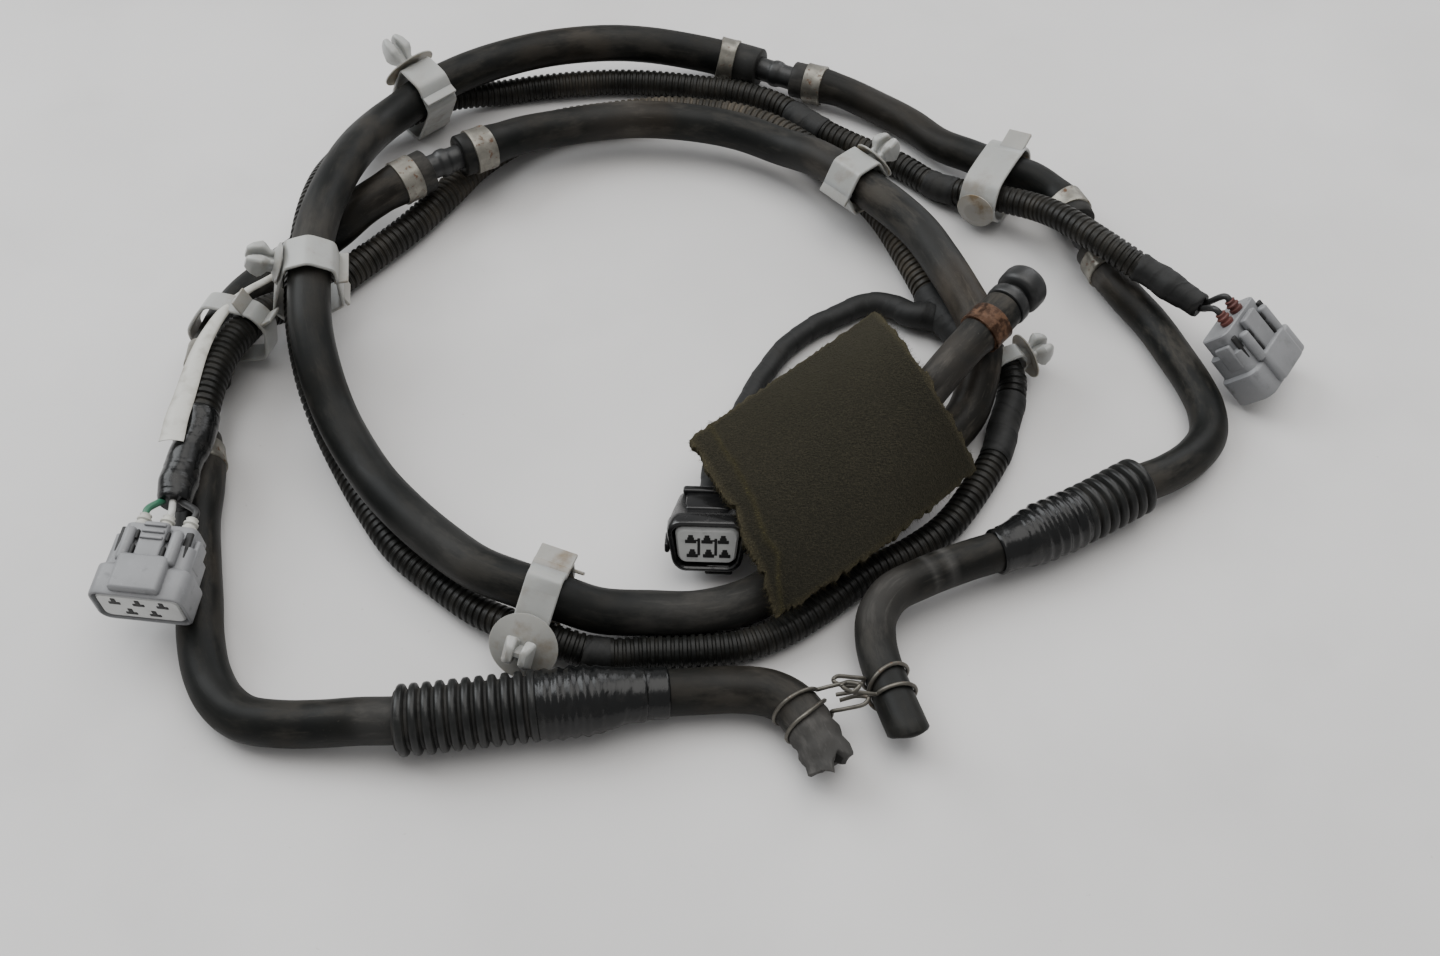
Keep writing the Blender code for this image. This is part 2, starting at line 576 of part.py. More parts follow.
def wires(name, place, facing, target, rows, wire_looks, seal_look):
    """Wire seals in a housing's back, each with its wire to the taped lead."""
    back = -GREY_LENGTH / 2 - GAP
    for k, (across, above) in enumerate(rows):
        rim = SEAL / 2
        turned(name + "_seal_" + str(k + 1),
               [(0.0, 0.0), (0.0, rim), (1.2, rim), (1.5, rim - 0.5), (2.4, rim - 0.5), (2.7, rim),
                (SEAL_LENGTH, rim - 0.4), (SEAL_LENGTH, 0.0)],
               local(place, facing, (across, above, back)), -Vector(facing), seal_look, 10)
        begin = Vector(local(place, facing, (across, above, back - SEAL_LENGTH - 4 * GAP)))
        inward = (Vector(target) - Vector(local(place, facing, (0, 0, back)))).normalized()
        spread = Vector(local(place, facing, (across * 0.45, above * 0.45, 0))) - Vector(place)
        rod(name + "_wire_" + str(k + 1), [begin, Vector(target) - inward * 4 * GAP + spread], LEAD,
            wire_looks[k], 1)


def build():
    for piece in list(bpy.data.objects):
        bpy.data.objects.remove(piece, do_unlink=True)

    rubber = material("hose_rubber", (0.035, 0.034, 0.033), 0.6)
    ribbed = material("conduit_plastic", (0.02, 0.02, 0.021), 0.4)
    cloth = material("harness_tape", (0.016, 0.016, 0.016), 0.75)
    glossy = material("glossy_tape", (0.014, 0.014, 0.015), 0.25)
    sleeve = material("sleeve_plastic", (0.018, 0.018, 0.018), 0.35)
    zinc = material("crimp_zinc", (0.42, 0.41, 0.38), 0.45, 1.0)
    rust = material("rusty_ring", (0.32, 0.15, 0.06), 0.8, 0.2)
    steel = material("spring_wire", (0.2, 0.2, 0.19), 0.45, 1.0)
    nylon = material("clip_nylon", (0.62, 0.6, 0.54), 0.4)
    grey = material("connector_grey", (0.33, 0.33, 0.32), 0.45)
    pale = material("connector_insert", (0.55, 0.55, 0.53), 0.45)
    black = material("connector_black", (0.012, 0.012, 0.013), 0.25)
    joint = material("joint_plastic", (0.02, 0.02, 0.022), 0.35)
    felt = material("felt", (0.04, 0.036, 0.026), 0.95)
    seal = material("seal_red", (0.16, 0.05, 0.04), 0.6)
    white_seal = material("seal_white", (0.5, 0.5, 0.48), 0.6)
    dark_wire = material("wire_dark", (0.02, 0.02, 0.02), 0.5)
    green_wire = material("wire_green", (0.07, 0.18, 0.1), 0.5)
    white_wire = material("wire_white", (0.5, 0.5, 0.48), 0.5)

    # Hoses
    right_outer, left_inner = spaced(RIGHT_OUTER), spaced(LEFT_INNER)
    left_mid, left_end = spaced(LEFT_MID), spaced(LEFT_END)
    right_mid, right_end, feed = spaced(RIGHT_MID), spaced(RIGHT_END), spaced(FEED)
    rod("hose_right_outer", right_outer, HOSE, rubber, HOSE_SIDES)
    rod("hose_left_inner", left_inner, HOSE, rubber, HOSE_SIDES)
    rod("hose_left_mid", left_mid, HOSE, rubber, HOSE_SIDES)
    rod("hose_left_end", left_end, HOSE, rubber, HOSE_SIDES)
    rod("hose_right_mid", right_mid, SLIM_HOSE, rubber, HOSE_SIDES)
    rod("hose_right_end", right_end, SLIM_HOSE, rubber, HOSE_SIDES)
    rod("hose_feed", feed, SLIM_HOSE, rubber, HOSE_SIDES)

    # Conduits and taped leads
    conduit_right = spaced(CONDUIT_R)
    conduit_left = spaced(CONDUIT_L)
    branch = spaced(BRANCH_ROUTE)
    rod("conduit_right", conduit_right, CONDUIT_RIGHT, ribbed, CONDUIT_SIDES)
    rod("conduit_left", conduit_left, CONDUIT_LEFT, ribbed, CONDUIT_SIDES)
    rod("branch_lead", branch, BRANCH, cloth, CONDUIT_SIDES)
    tapered("right_lead_tape", [beyond(conduit_right, -1, GAP), beyond(conduit_right, -1, 3.0)] + RIGHT_LEAD,
            [5.0, 5.2, 4.9, 4.6, 4.2], cloth, 12)
    tapered("left_end_tape", [beyond(conduit_left, 0, GAP), beyond(conduit_left, 0, 3.0)] + LEFT_TAPE,
            [5.6, 5.9, 5.4, 5.5, 4.8], glossy, 12)

    # Taped junction of the two conduits and the branch lead
    wrap = CONDUIT_LEFT / 2
    junction = tapered("junction_tape", [beyond(conduit_left, -1, GAP), beyond(conduit_left, -1, 3.0),
                                         (80, 13, 7), beyond(conduit_right, 0, 3.0),
                                         beyond(conduit_right, 0, GAP)],
                       [wrap, wrap + 0.3, wrap, wrap - 0.2, CONDUIT_RIGHT / 2], cloth, 14)
    inward = Vector(branch[0] - branch[1]).normalized()
    reach = (Vector(conduit_left[-1]) - Vector(branch[0])).length
    stub = turned("junction_stub", [(0.0, 0.0), (0.0, BRANCH / 2), (reach, BRANCH / 2), (reach, 0.0)],
                  Vector(branch[0]) + inward * GAP, inward, cloth, 12)
    combine(junction, stub, "UNION")

    # Joint tubes between the hose ends
    for name, before, after in (("joint_right_upper", right_outer, right_mid),
                                ("joint_left_upper", left_inner, left_mid),
                                ("joint_left_lower", left_mid, left_end),
                                ("joint_right_lower", right_mid, right_end)):
        tube = JOINT_TUBE / 2
        tapered(name, [beyond(before, -1, GAP), beyond(before, -1, 2.5), beyond(after, 0, 2.5),
                       beyond(after, 0, GAP)], [tube] * 4, joint, 14)

    # The tee under the felt pad, with a leg to each of its three hoses
    heart = Vector((49.5, -58.5, 11.0))
    legs = []
    for k, route in enumerate((right_outer, left_inner, feed)):
        legs.append(tapered("tee_leg" + str(k), [beyond(route, 0, GAP), beyond(route, 0, 4.0), heart],
                            [JOINT_COLLAR / 2] * 3, joint, 14))
    legs[0].name = "tee_fitting"
    combine(legs[0], legs[1], "UNION")
    combine(legs[0], legs[2], "UNION")

    # Crimp rings
    for name, route, along, hose in (
            ("ring_right_outer", right_outer, -10.0, HOSE),
            ("ring_right_mid_upper", right_mid, 16.0, SLIM_HOSE),
            ("ring_left_inner", left_inner, -9.0, HOSE), ("ring_left_mid_upper", left_mid, 16.0, HOSE),
            ("ring_left_mid_lower", left_mid, -9.0, HOSE), ("ring_left_end", left_end, 14.0, HOSE),
            ("ring_right_mid_lower", right_mid, -9.0, SLIM_HOSE),
            ("ring_right_end", right_end, 16.0, SLIM_HOSE),
            ("ring_tee_right", right_outer, 9.0, HOSE), ("ring_tee_left", left_inner, 9.0, HOSE)):
        crimp_ring(name, route, along, hose, zinc)
    crimp_ring("ring_feed", feed, -8.0, SLIM_HOSE, rust)

    # Feed end fitting: collar, waist and rounded head
    tip, way = Vector(feed[-1]), Vector(feed[-1] - feed[-2]).normalized()
    turned("feed_fitting", [(0.0, 0.0), (0.0, 6.5), (1.0, 7.4), (4.0, 7.4), (4.6, 5.0), (6.6, 5.0),
                            (7.2, 7.0), (8.2, 8.0), (13.0, 8.0), (14.6, 7.2), (15.4, 5.4), (15.4, 3.4),
                            (9.5, 3.4), (9.5, 0.0)], tip + way * GAP, way, black, 20)

    # Ribbed sleeves with their tape
    for side, route, hose, outer, pitch, marks in (
            ("left", LEFT_END, HOSE, SLEEVE_OD / 2, SLEEVE_PITCH, LEFT_SLEEVE),
            ("right", RIGHT_END, SLIM_HOSE, SLIM_SLEEVE_OD / 2, SLIM_SLEEVE_PITCH, RIGHT_SLEEVE)):
        start, change, end = (along_route(route, mark) for mark in marks)
        bore = hose / 2 + SLEEVE_BORE_GAP
        sleeve_tube("sleeve_" + side, route, start, change, ribs(change - start, pitch, outer, SLEEVE_RIB),
                    bore, sleeve)
        sleeve_tube("sleeve_tape_" + side, route, change + GAP, end,
                    taped_ribs(end - change, pitch, outer, SLEEVE_RIB / 2), bore, glossy)

    # Spring wire clamps on the two open ends
    spring_clamp("spring_clamp_left", left_end, -19.0, HOSE, 5.0, steel)
    spring_clamp("spring_clamp_right", right_end, -18.0, SLIM_HOSE, 5.0, steel)

    # Push clips
    outer, right = (RIGHT_OUTER, HOSE), (CONDUIT_R, CONDUIT_RIGHT)
    inner, slim = (LEFT_INNER, HOSE), (RIGHT_MID, SLIM_HOSE)
    for name, routes in (("clip_top_left", [outer, right]), ("clip_crossing", [outer, right]),
                         ("clip_front", [outer, right]), ("clip_top_right", [inner]),
                         ("clip_far_right", [slim, right]), ("clip_right", [right])):
        push_clip(name, routes, *CLIPS[name], nylon)
    held, middle, heading = gripped([(LEFT_MID, HOSE), (CONDUIT_L, CONDUIT_LEFT)], SADDLE_PLACE, SADDLE_WIDTH)
    strap("clip_left_saddle", held, middle, heading, SADDLE_WIDTH, nylon)

    # Connectors
    column, row = GREY_WIDTH / 4, GREY_HEIGHT / 6
    two_rows = [(-column, row), (0.0, row), (column, row), (-column / 2, -row), (column / 2, -row)]
    grey_connector("connector_left", LEFT_CONNECTOR, LEFT_FACING, grey, pale, two_rows)
    grey_connector("connector_right", RIGHT_CONNECTOR, RIGHT_FACING, grey, pale, two_rows)
    wires("left", LEFT_CONNECTOR, LEFT_FACING, LEFT_TAPE[-1],
          [(-column, row), (0.0, row), (column, row)],
          [green_wire, white_wire, dark_wire], white_seal)
    wires("right", RIGHT_CONNECTOR, RIGHT_FACING, RIGHT_LEAD[-1], [(-column / 2, row), (column / 2, row)],
          [dark_wire, dark_wire], seal)

    centre = box("connector_centre", (BLACK_WIDTH, BLACK_HEIGHT, BLACK_LENGTH), BLACK_CONNECTOR,
                 BLACK_FACING, black, 2.5)
    mouth = BLACK_LENGTH / 2
    wide, tall = BLACK_WIDTH - 2 * SOCKET_WALL, BLACK_HEIGHT - 2 * SOCKET_WALL
    combine(centre, box("centre_socket", (wide, tall, 2 * SOCKET_DEPTH),
                        local(BLACK_CONNECTOR, BLACK_FACING, (0, 0, mouth)), BLACK_FACING, black, 2.0),
            "DIFFERENCE")
    combine(centre, box("centre_bar", BLACK_BAR,
                        local(BLACK_CONNECTOR, BLACK_FACING, (0, BLACK_HEIGHT / 2, -mouth / 2)),
                        BLACK_FACING, black, 0.8), "UNION")
    combine(centre, box("centre_lock", BLACK_LOCK,
                        local(BLACK_CONNECTOR, BLACK_FACING, (mouth / 3, -BLACK_HEIGHT / 2, mouth / 3)),
                        BLACK_FACING, black, 0.8), "UNION")
    block_depth = SOCKET_DEPTH - GAP - INSERT_SUNK
    block = box("connector_centre_block", (wide - 2 * INSERT_GAP, tall - 2 * INSERT_GAP, block_depth),
                local(BLACK_CONNECTOR, BLACK_FACING, (0, 0, mouth - INSERT_SUNK - block_depth / 2)),
                BLACK_FACING, pale, 1.6)
    for row in (1, -1):
        for column in (-1, 0, 1):
            spot = (column * wide / 4, row * tall / 4, mouth - INSERT_SUNK)
            hole = box("centre_port", (TERMINAL * 1.6, TERMINAL * 1.3, PORT_DEPTH),
                       local(BLACK_CONNECTOR, BLACK_FACING, spot), BLACK_FACING, black)
            combine(block, hole, "DIFFERENCE")

    # Felt pad over the tee
    felt_sheet("felt_pad", PAD_ROWS, FELT, felt)


build()
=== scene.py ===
import math
import bpy
import numpy as np
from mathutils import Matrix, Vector


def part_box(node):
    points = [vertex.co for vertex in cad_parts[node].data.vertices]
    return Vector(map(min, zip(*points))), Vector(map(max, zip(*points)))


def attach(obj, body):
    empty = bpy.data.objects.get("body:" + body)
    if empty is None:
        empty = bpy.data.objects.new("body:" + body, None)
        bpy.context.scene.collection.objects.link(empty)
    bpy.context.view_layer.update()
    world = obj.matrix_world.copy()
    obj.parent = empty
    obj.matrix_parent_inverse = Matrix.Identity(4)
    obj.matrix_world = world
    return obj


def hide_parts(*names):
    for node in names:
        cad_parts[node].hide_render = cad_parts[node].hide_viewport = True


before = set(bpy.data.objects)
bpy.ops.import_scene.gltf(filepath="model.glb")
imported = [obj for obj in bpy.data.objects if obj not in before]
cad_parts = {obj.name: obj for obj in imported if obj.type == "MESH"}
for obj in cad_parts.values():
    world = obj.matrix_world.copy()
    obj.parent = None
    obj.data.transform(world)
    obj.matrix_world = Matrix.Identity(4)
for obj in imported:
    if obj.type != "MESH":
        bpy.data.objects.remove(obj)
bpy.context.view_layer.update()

layoutMiddle = np.array([7.35, 0.7, -0.25])  # the layout's millimetres to the part's frame
mm = 0.001
upward = np.array([0.0, 0.0, 1.0])


def place(points):
    return (np.asarray(points, float) - layoutMiddle) * mm


def circle(sides):
    return np.linspace(0, 2 * math.pi, sides, endpoint=False)[None, :]


def unit(way):
    way = np.asarray(way, float)
    return way / np.linalg.norm(way, axis=-1, keepdims=True)


def seeded(seed):
    return np.random.default_rng(seed)


def wander(at, pitch, seed):
    # smooth noise along a line: random heights each pitch, joined by a cosine
    heights = seeded(seed).uniform(-1, 1, 4096)
    spot = at / pitch + 1000
    base = np.floor(spot).astype(int)
    share = (1 - np.cos((spot - base) * math.pi)) / 2
    return heights[base % 4096] * (1 - share) + heights[(base + 1) % 4096] * share


class Route:
    # a smooth line through points, read by distance along it; both ends run on straight
    def __init__(self, points, up=(0, 0, 1), metres=False):
        p = np.asarray(points, float) if metres else place(points)
        if len(p) > 2:
            p = np.vstack([2 * p[0] - p[1], p, 2 * p[-1] - p[-2]])
            a, b, c, d = (q[:, None, :] for q in (p[:-3], p[1:-2], p[2:-1], p[3:]))
            k1 = np.sqrt(np.linalg.norm(b - a, axis=2, keepdims=True))
            k2 = k1 + np.sqrt(np.linalg.norm(c - b, axis=2, keepdims=True))
            k3 = k2 + np.sqrt(np.linalg.norm(d - c, axis=2, keepdims=True))
            t = k1 + (k2 - k1) * np.linspace(0, 1, 24, endpoint=False)[None, :, None]
            ab, bc = a + (b - a) * t / k1, b + (c - b) * (t - k1) / (k2 - k1)
            cd = c + (d - c) * (t - k2) / (k3 - k2)
            abc, bcd = ab + (bc - ab) * t / k2, bc + (cd - bc) * (t - k1) / (k3 - k1)
            fine = (abc + (bcd - abc) * (t - k1) / (k2 - k1)).reshape(-1, 3)
            p = np.vstack([fine, p[-2:-1]])
        steps = np.linalg.norm(np.diff(p, axis=0), axis=1)
        at = np.concatenate([[0], np.cumsum(steps)])
        self.length = float(at[-1])
        ahead, behind = unit(p[-1] - p[-2]), unit(p[0] - p[1])
        self.line = p
        self.spots = np.vstack([p[0] + behind * 0.1, p, p[-1] + ahead * 0.1])
        self.at = np.concatenate([[-0.1], at, [self.length + 0.1]])
        self.up = np.asarray(up, float)

    def spot(self, along):
        return np.stack([np.interp(along, self.at, self.spots[:, k]) for k in range(3)], axis=-1)

    def frame(self, along, reach=0.0012):
        way = unit(self.spot(along + reach) - self.spot(along - reach))
        lift = unit(self.up - way * (way @ self.up)[..., None])
        return self.spot(along), way, lift, np.cross(way, lift)

    def near(self, point):
        spot = place(point)
        return float(self.at[np.linalg.norm(self.spots - spot, axis=1).argmin()])


def quadsOf(index):
    return np.stack([index[:-1, :-1], index[:-1, 1:], index[1:, 1:], index[1:, :-1]], axis=2).reshape(-1, 4)


def form(grid, wrapAlong=False, slot=0, **marks):
    # a grid of points (along, around) as one closed surface: its ends are shut by fans or joined up
    rows, sides = grid.shape[:2]
    index = np.arange(rows * sides).reshape(rows, sides)
    index = np.hstack([index, index[:, :1]])
    if wrapAlong:
        index = np.vstack([index, index[:1]])
    quads = quadsOf(index)
    points = grid.reshape(-1, 3)
    fans = []
    marks = {name: np.broadcast_to(value, (rows, sides) + np.shape(value)[2:]).reshape(
        (rows * sides,) + np.shape(value)[2:]) for name, value in marks.items()}
    for ring in () if wrapAlong else (index[0], index[-1][::-1]):
        middle = points[ring[:-1]].mean(axis=0)
        fans.append(np.stack([ring[1:], ring[:-1], np.full(sides, len(points))], axis=1))
        points = np.vstack([points, middle])
        marks = {name: np.concatenate([value, value[ring[:1]]]) for name, value in marks.items()}
    return {"points": points, "quads": quads, "fans": np.vstack(fans) if fans else np.zeros((0, 3), int),
            "marks": marks, "slot": slot}



def rounded(shape):
    # the signed volume says which way a closed surface faces
    q, f, p = shape["quads"], shape["fans"], shape["points"]
    triangles = np.vstack([q[:, [0, 1, 2]], q[:, [0, 2, 3]], f])
    a, b, c = (p[triangles[:, k]] for k in range(3))
    if np.einsum("ij,ij->i", a, np.cross(b, c)).sum() < 0:
        shape["quads"], shape["fans"] = q[:, ::-1], f[:, ::-1]
    return shape


def piece(name, shapes, looks, node=None, smooth=40.0):
    # joins surfaces to one named mesh, riding on the part; node is the hard part that it replaces
    shapes = [rounded(shape) for shape in shapes]
    points, faces, slots, start = [], [], [], 0
    for shape in shapes:
        points.append(shape["points"])
        faces += (shape["quads"] + start).tolist() + (shape["fans"] + start).tolist()
        slots += [shape["slot"]] * (len(shape["quads"]) + len(shape["fans"]))
        start += len(shape["points"])
    mesh = bpy.data.meshes.new(name)
    points = np.vstack(points)
    points[:, 2] = np.maximum(points[:, 2], 0.0)  # what would sink into the table lies flat on it
    mesh.from_pydata(points.tolist(), [], faces)
    for mark in sorted({mark for shape in shapes for mark in shape["marks"]}):
        found = next(shape["marks"][mark] for shape in shapes if mark in shape["marks"])
        size = found.shape[1:]
        rows = [shape["marks"].get(mark, np.zeros((len(shape["points"]),) + size)) for shape in shapes]
        kind, field = ("FLOAT_VECTOR", "vector") if size else ("FLOAT", "value")
        mesh.attributes.new(mark, kind, "POINT").data.foreach_set(field, np.concatenate(rows).ravel())
    mesh.polygons.foreach_set("material_index", slots)
    mesh.shade_smooth()
    mesh.set_sharp_from_angle(angle=math.radians(smooth))
    for look in looks if isinstance(looks, (list, tuple)) else [looks]:
        mesh.materials.append(look)
    made = bpy.data.objects.new(name, mesh)
    bpy.context.scene.collection.objects.link(made)
    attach(made, "root")
    if node:
        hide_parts(node)
    return made


def ringsRound(route, along, radius, sides):
    # rings of the radius round the route's line, and (across, up, along) of each point for the looks
    angle = circle(sides)
    radius = np.asarray(radius, float)
    radius = radius[:, None] if radius.ndim == 1 else radius
    spot, _, lift, side = (v[:, None, :] for v in route.frame(along))
    grid = spot + radius[..., None] * (np.cos(angle)[..., None] * lift + np.sin(angle)[..., None] * side)
    lie = np.stack(np.broadcast_arrays(radius * np.cos(angle), radius * np.sin(angle), along[:, None]), axis=2)
    return grid, lie


def carried(route, along, radius, sides, **marks):
    grid, lie = ringsRound(route, along, radius, sides)
    return form(grid, lie=lie, **{name: value[:, None] if np.ndim(value) == 1 else value
                                  for name, value in marks.items()})


def frameAt(point, facing):
    # a point in the layout with across, above and ahead ways
    ahead = unit(facing)
    above = unit(upward - ahead * ahead[2])
    return place(point), np.cross(above, ahead), above, ahead


def moved(at, across, above, ahead):
    spot, side, lift, way = at
    return spot + mm * (np.asarray(across)[..., None] * side + np.asarray(above)[..., None] * lift
                        + np.asarray(ahead)[..., None] * way)


def turned(at, profile, sides, **marks):
    # a profile of (ahead, radius) millimetres spun about the frame's ahead way
    profile = np.array(profile, float)
    angle = circle(sides)
    grid = moved(at, profile[:, 1:] * np.cos(angle), profile[:, 1:] * np.sin(angle),
                 profile[:, :1] + 0 * angle)
    return form(grid, **marks)


def outline(width, height, corner):
    # a rectangle with round corners, as (across, above)
    turn = np.linspace(0, math.pi / 2, 6)[None, :] + np.arange(4)[:, None] * math.pi / 2
    signs = np.array([[1, 1], [-1, 1], [-1, -1], [1, -1]])
    corner = min(corner, width / 2 - 1e-3, height / 2 - 1e-3)
    across = signs[:, :1] * (width / 2 - corner) + corner * np.cos(turn)
    above = signs[:, 1:] * (height / 2 - corner) + corner * np.sin(turn)
    return across.ravel(), above.ravel()


def loft(at, stations, slot=0, pinch=0, **marks):
    # rounded rectangles (ahead, width, height, corner, right, up) carried along the frame's way;
    # pinch is the share by which each one narrows towards its underside
    grid = []
    for station in stations:
        ahead, width, height, corner, right, up = (list(station) + [0, 0])[:6]
        across, above = outline(width, height, corner)
        across = across * (1 - pinch * np.clip(0.35 - above / height, 0, 1))
        grid.append(moved(at, across + right, above + up, np.full_like(across, ahead)))
    return form(np.array(grid), slot=slot, **marks)


def block(at, middle, size, soft=0.5, corner=0.8, slot=0):
    # a moulded block with all its edges rounded: middle and size are (across, above, ahead)
    (x, y, z), (w, h, l) = middle, size
    soft = min(soft, l / 2.2, w / 2.2, h / 2.2)
    rows = []
    for share in (0.0, 0.3, 0.7, 1.0):
        cut = soft * (1 - math.sin(share * math.pi / 2))
        rows.append((z - l / 2 + soft * (1 - math.cos(share * math.pi / 2)), w - 2 * cut, h - 2 * cut, corner, x, y))
    rows += [(2 * z - row[0],) + row[1:] for row in rows[::-1]]
    return loft(at, rows, slot)


def blocks(at, settings):
    return [block(at, *setting) for setting in settings]


class Wire:
    # one socket of a finish, so that shader maths reads as Python
    def __init__(self, finish, socket):
        self.finish, self.socket = finish, socket

    def maths(self, operation, *others):
        return self.finish.node("ShaderNodeMath", {"operation": operation}, dict(enumerate((self,) + others)))

    def __add__(self, other): return self.maths("ADD", other)
    def __sub__(self, other): return self.maths("SUBTRACT", other)
    def __rsub__(self, other): return (self * -1.0).maths("ADD", other)
    def __mul__(self, other): return self.maths("MULTIPLY", other)
    def __truediv__(self, other): return self.maths("DIVIDE", other)
    __radd__, __rmul__ = __add__, __mul__

    def above(self, low, high):
        return self.finish.node("ShaderNodeMapRange", {"interpolation_type": "SMOOTHSTEP"},
                                {0: self, 1: low, 2: high, 3: 0.0, 4: 1.0})


class Finish:
    # one procedural material; whatever isn't set stays as the shader has it
    def __init__(self, name, **fixed):
        self.material = bpy.data.materials.new(name)
        self.material.use_nodes = True
        self.tree = self.material.node_tree
        self.shader = self.tree.nodes["Principled BSDF"]
        for socket, value in fixed.items():
            self.shader.inputs[socket.replace("_", " ")].default_value = value
        self.object = self.node("ShaderNodeTexCoord", {}, {}, "Object")

    def node(self, kind, settings=None, values=None, out=0):
        made = self.tree.nodes.new(kind)
        for key, value in (settings or {}).items():
            setattr(made, key, value)
        for key, value in (values or {}).items():
            self.feed(made.inputs[key], value)
        return Wire(self, made.outputs[out])

    def feed(self, socket, value):
        if isinstance(value, Wire):
            self.tree.links.new(value.socket, socket)
        else:
            socket.default_value = value

    def mark(self, name, out="Fac"):
        return self.node("ShaderNodeAttribute", {"attribute_name": name}, {}, out)

    def noise(self, scale, detail=3.0, at=None, rough=0.55, stretch=None):
        at = at or self.object
        if stretch:
            at = self.node("ShaderNodeVectorMath", {"operation": "MULTIPLY"}, {0: at, 1: stretch})
        return self.node("ShaderNodeTexNoise", {}, {"Vector": at, "Scale": scale, "Detail": detail,
                                                    "Roughness": rough})

    def mix(self, share, first, second):
        first, second = ((*c, 1.0) if isinstance(c, tuple) and len(c) == 3 else c for c in (first, second))
        return self.node("ShaderNodeMix", {"data_type": "RGBA"}, {0: share, 6: first, 7: second}, 2)

    def finish(self, colour=None, roughness=None, height=None, depth=0.0002, metallic=None, strength=0.6):
        for socket, value in (("Base Color", colour), ("Roughness", roughness), ("Metallic", metallic)):
            if value is not None:
                self.feed(self.shader.inputs[socket], value)
        if height is not None:
            self.feed(self.shader.inputs["Normal"], self.node("ShaderNodeBump", {}, {
                "Strength": strength, "Distance": depth, "Height": height}))
        return self.material


def hoseRubber():
    # dull black rubber, with a grey bloom, lengthways scuffs and grey worn bands
    look = Finish("hoseRubber", IOR=1.5, Specular_IOR_Level=0.16)
    lie = look.mark("lie", "Vector")
    dust = look.mark("dust")
    worn = look.mark("worn")
    bloom = look.noise(38.0, 5.0).above(0.38, 0.72)
    patches = look.noise(130.0, 5.0, lie, stretch=(1.0, 1.0, 0.35), rough=0.65).above(0.44, 0.66)
    scuff = look.noise(800.0, 3.0, lie, stretch=(1.0, 1.0, 0.1)).above(0.6, 0.74)
    speck = look.noise(1500.0, 3.0, lie).above(0.66, 0.74)
    grime = look.noise(26.0, 4.0).above(0.46, 0.7)
    crown = look.noise(12.0, 2.0).above(0.35, 0.65)
    black = look.mix(bloom, (0.0042, 0.0049, 0.0046), (0.0105, 0.0107, 0.0098))
    dusty = look.mix((patches * 0.75 + scuff * 0.3 + speck * 0.5) * (0.2 + dust) * (0.3 + crown * 0.7), black,
                     (0.078, 0.07, 0.059))
    brown = look.mix(grime * dust * 0.55, dusty, (0.05, 0.037, 0.025))
    grey = look.mix(worn * (0.4 + patches * 0.4 + scuff * 0.2), brown, (0.1, 0.097, 0.093))
    grain = look.noise(2600.0, 2.0) * 0.4 + scuff * 0.4 + patches * 0.5
    return look.finish(grey, 0.46 + patches * 0.2 + worn * 0.25 - bloom * 0.06, grain, 0.00014, strength=0.4)


def conduitPlastic():
    # shiny black ribbed conduit, greyer on worn crests and tan where dust settles in the grooves
    look = Finish("conduitPlastic", IOR=1.46, Specular_IOR_Level=0.22)
    lie = look.mark("lie", "Vector")
    dust = look.mark("dust")
    crest = look.mark("crest")
    cloud = look.noise(95.0, 4.0).above(0.38, 0.72)
    speck = look.noise(700.0, 3.0, lie).above(0.55, 0.7)
    base = look.mix(cloud, (0.005, 0.0057, 0.0056), (0.0105, 0.0112, 0.0108))
    worn = look.mix(crest * speck * 0.14, base, (0.07, 0.07, 0.066))
    settled = (1.0 - crest * 0.45) * dust * (0.35 + cloud * 0.65)
    dusty = look.mix(settled, worn, (0.13, 0.108, 0.08))
    return look.finish(dusty, 0.36 + settled * 0.5 + speck * 0.12, look.noise(1800.0, 2.0), 0.00006, strength=0.3)


def tapeLook(name, colour, roughness, lap, wrinkle):
    # wound tape: slanting laps every few millimetres, with creases across them
    look = Finish(name, IOR=1.5, Specular_IOR_Level=0.32)
    lie = look.mark("lie", "Vector")
    parts = look.tree.nodes.new("ShaderNodeSeparateXYZ")
    look.feed(parts.inputs[0], lie)
    across, up, along = (Wire(look, socket) for socket in parts.outputs)
    turn = up.maths("ARCTAN2", across) / (2 * math.pi)
    fold = look.noise(240.0, 3.0, lie) * 0.35
    step = (along / lap + turn + fold).maths("FRACT")
    edge = step.above(0.86, 0.97)
    crease = look.noise(420.0, 4.0, lie, stretch=(1.0, 1.0, 2.4))
    grey = look.noise(150.0, 4.0, lie).above(0.48, 0.8)
    dust = look.mark("dust")
    # each lap's edge is painted darker: painted shade under the step of the turn above
    shade = look.mix(edge * 0.5, colour, tuple(0.45 * c for c in colour))
    shade = look.mix(grey * (0.15 + dust) * 0.4, shade, (0.07, 0.065, 0.057))
    height = step * 0.6 - edge * 0.5 + crease * wrinkle
    return look.finish(shade, roughness + grey * 0.2, height, 0.0005, strength=0.55)


def sleevePlastic():
    # stiff black sleeve with a soft gloss, grey dust caught between the ribs
    look = Finish("sleevePlastic", IOR=1.48, Specular_IOR_Level=0.35)
    lie = look.mark("lie", "Vector")
    crest = look.mark("crest")
    rub = look.noise(500.0, 4.0, lie, stretch=(1.0, 1.0, 0.5)).above(0.52, 0.75)
    cloud = look.noise(120.0, 3.0).above(0.4, 0.7)
    base = look.mix(cloud, (0.006, 0.0066, 0.0064), (0.012, 0.0126, 0.012))
    dusty = look.mix((1.0 - crest) * (0.08 + cloud * 0.3), base, (0.06, 0.055, 0.048))
    worn = look.mix(rub * crest * 0.14, dusty, (0.08, 0.078, 0.073))
    return look.finish(worn, 0.34 + (1.0 - crest) * 0.3 + rub * 0.15, look.noise(1500.0, 2.0), 0.00008, strength=0.3)


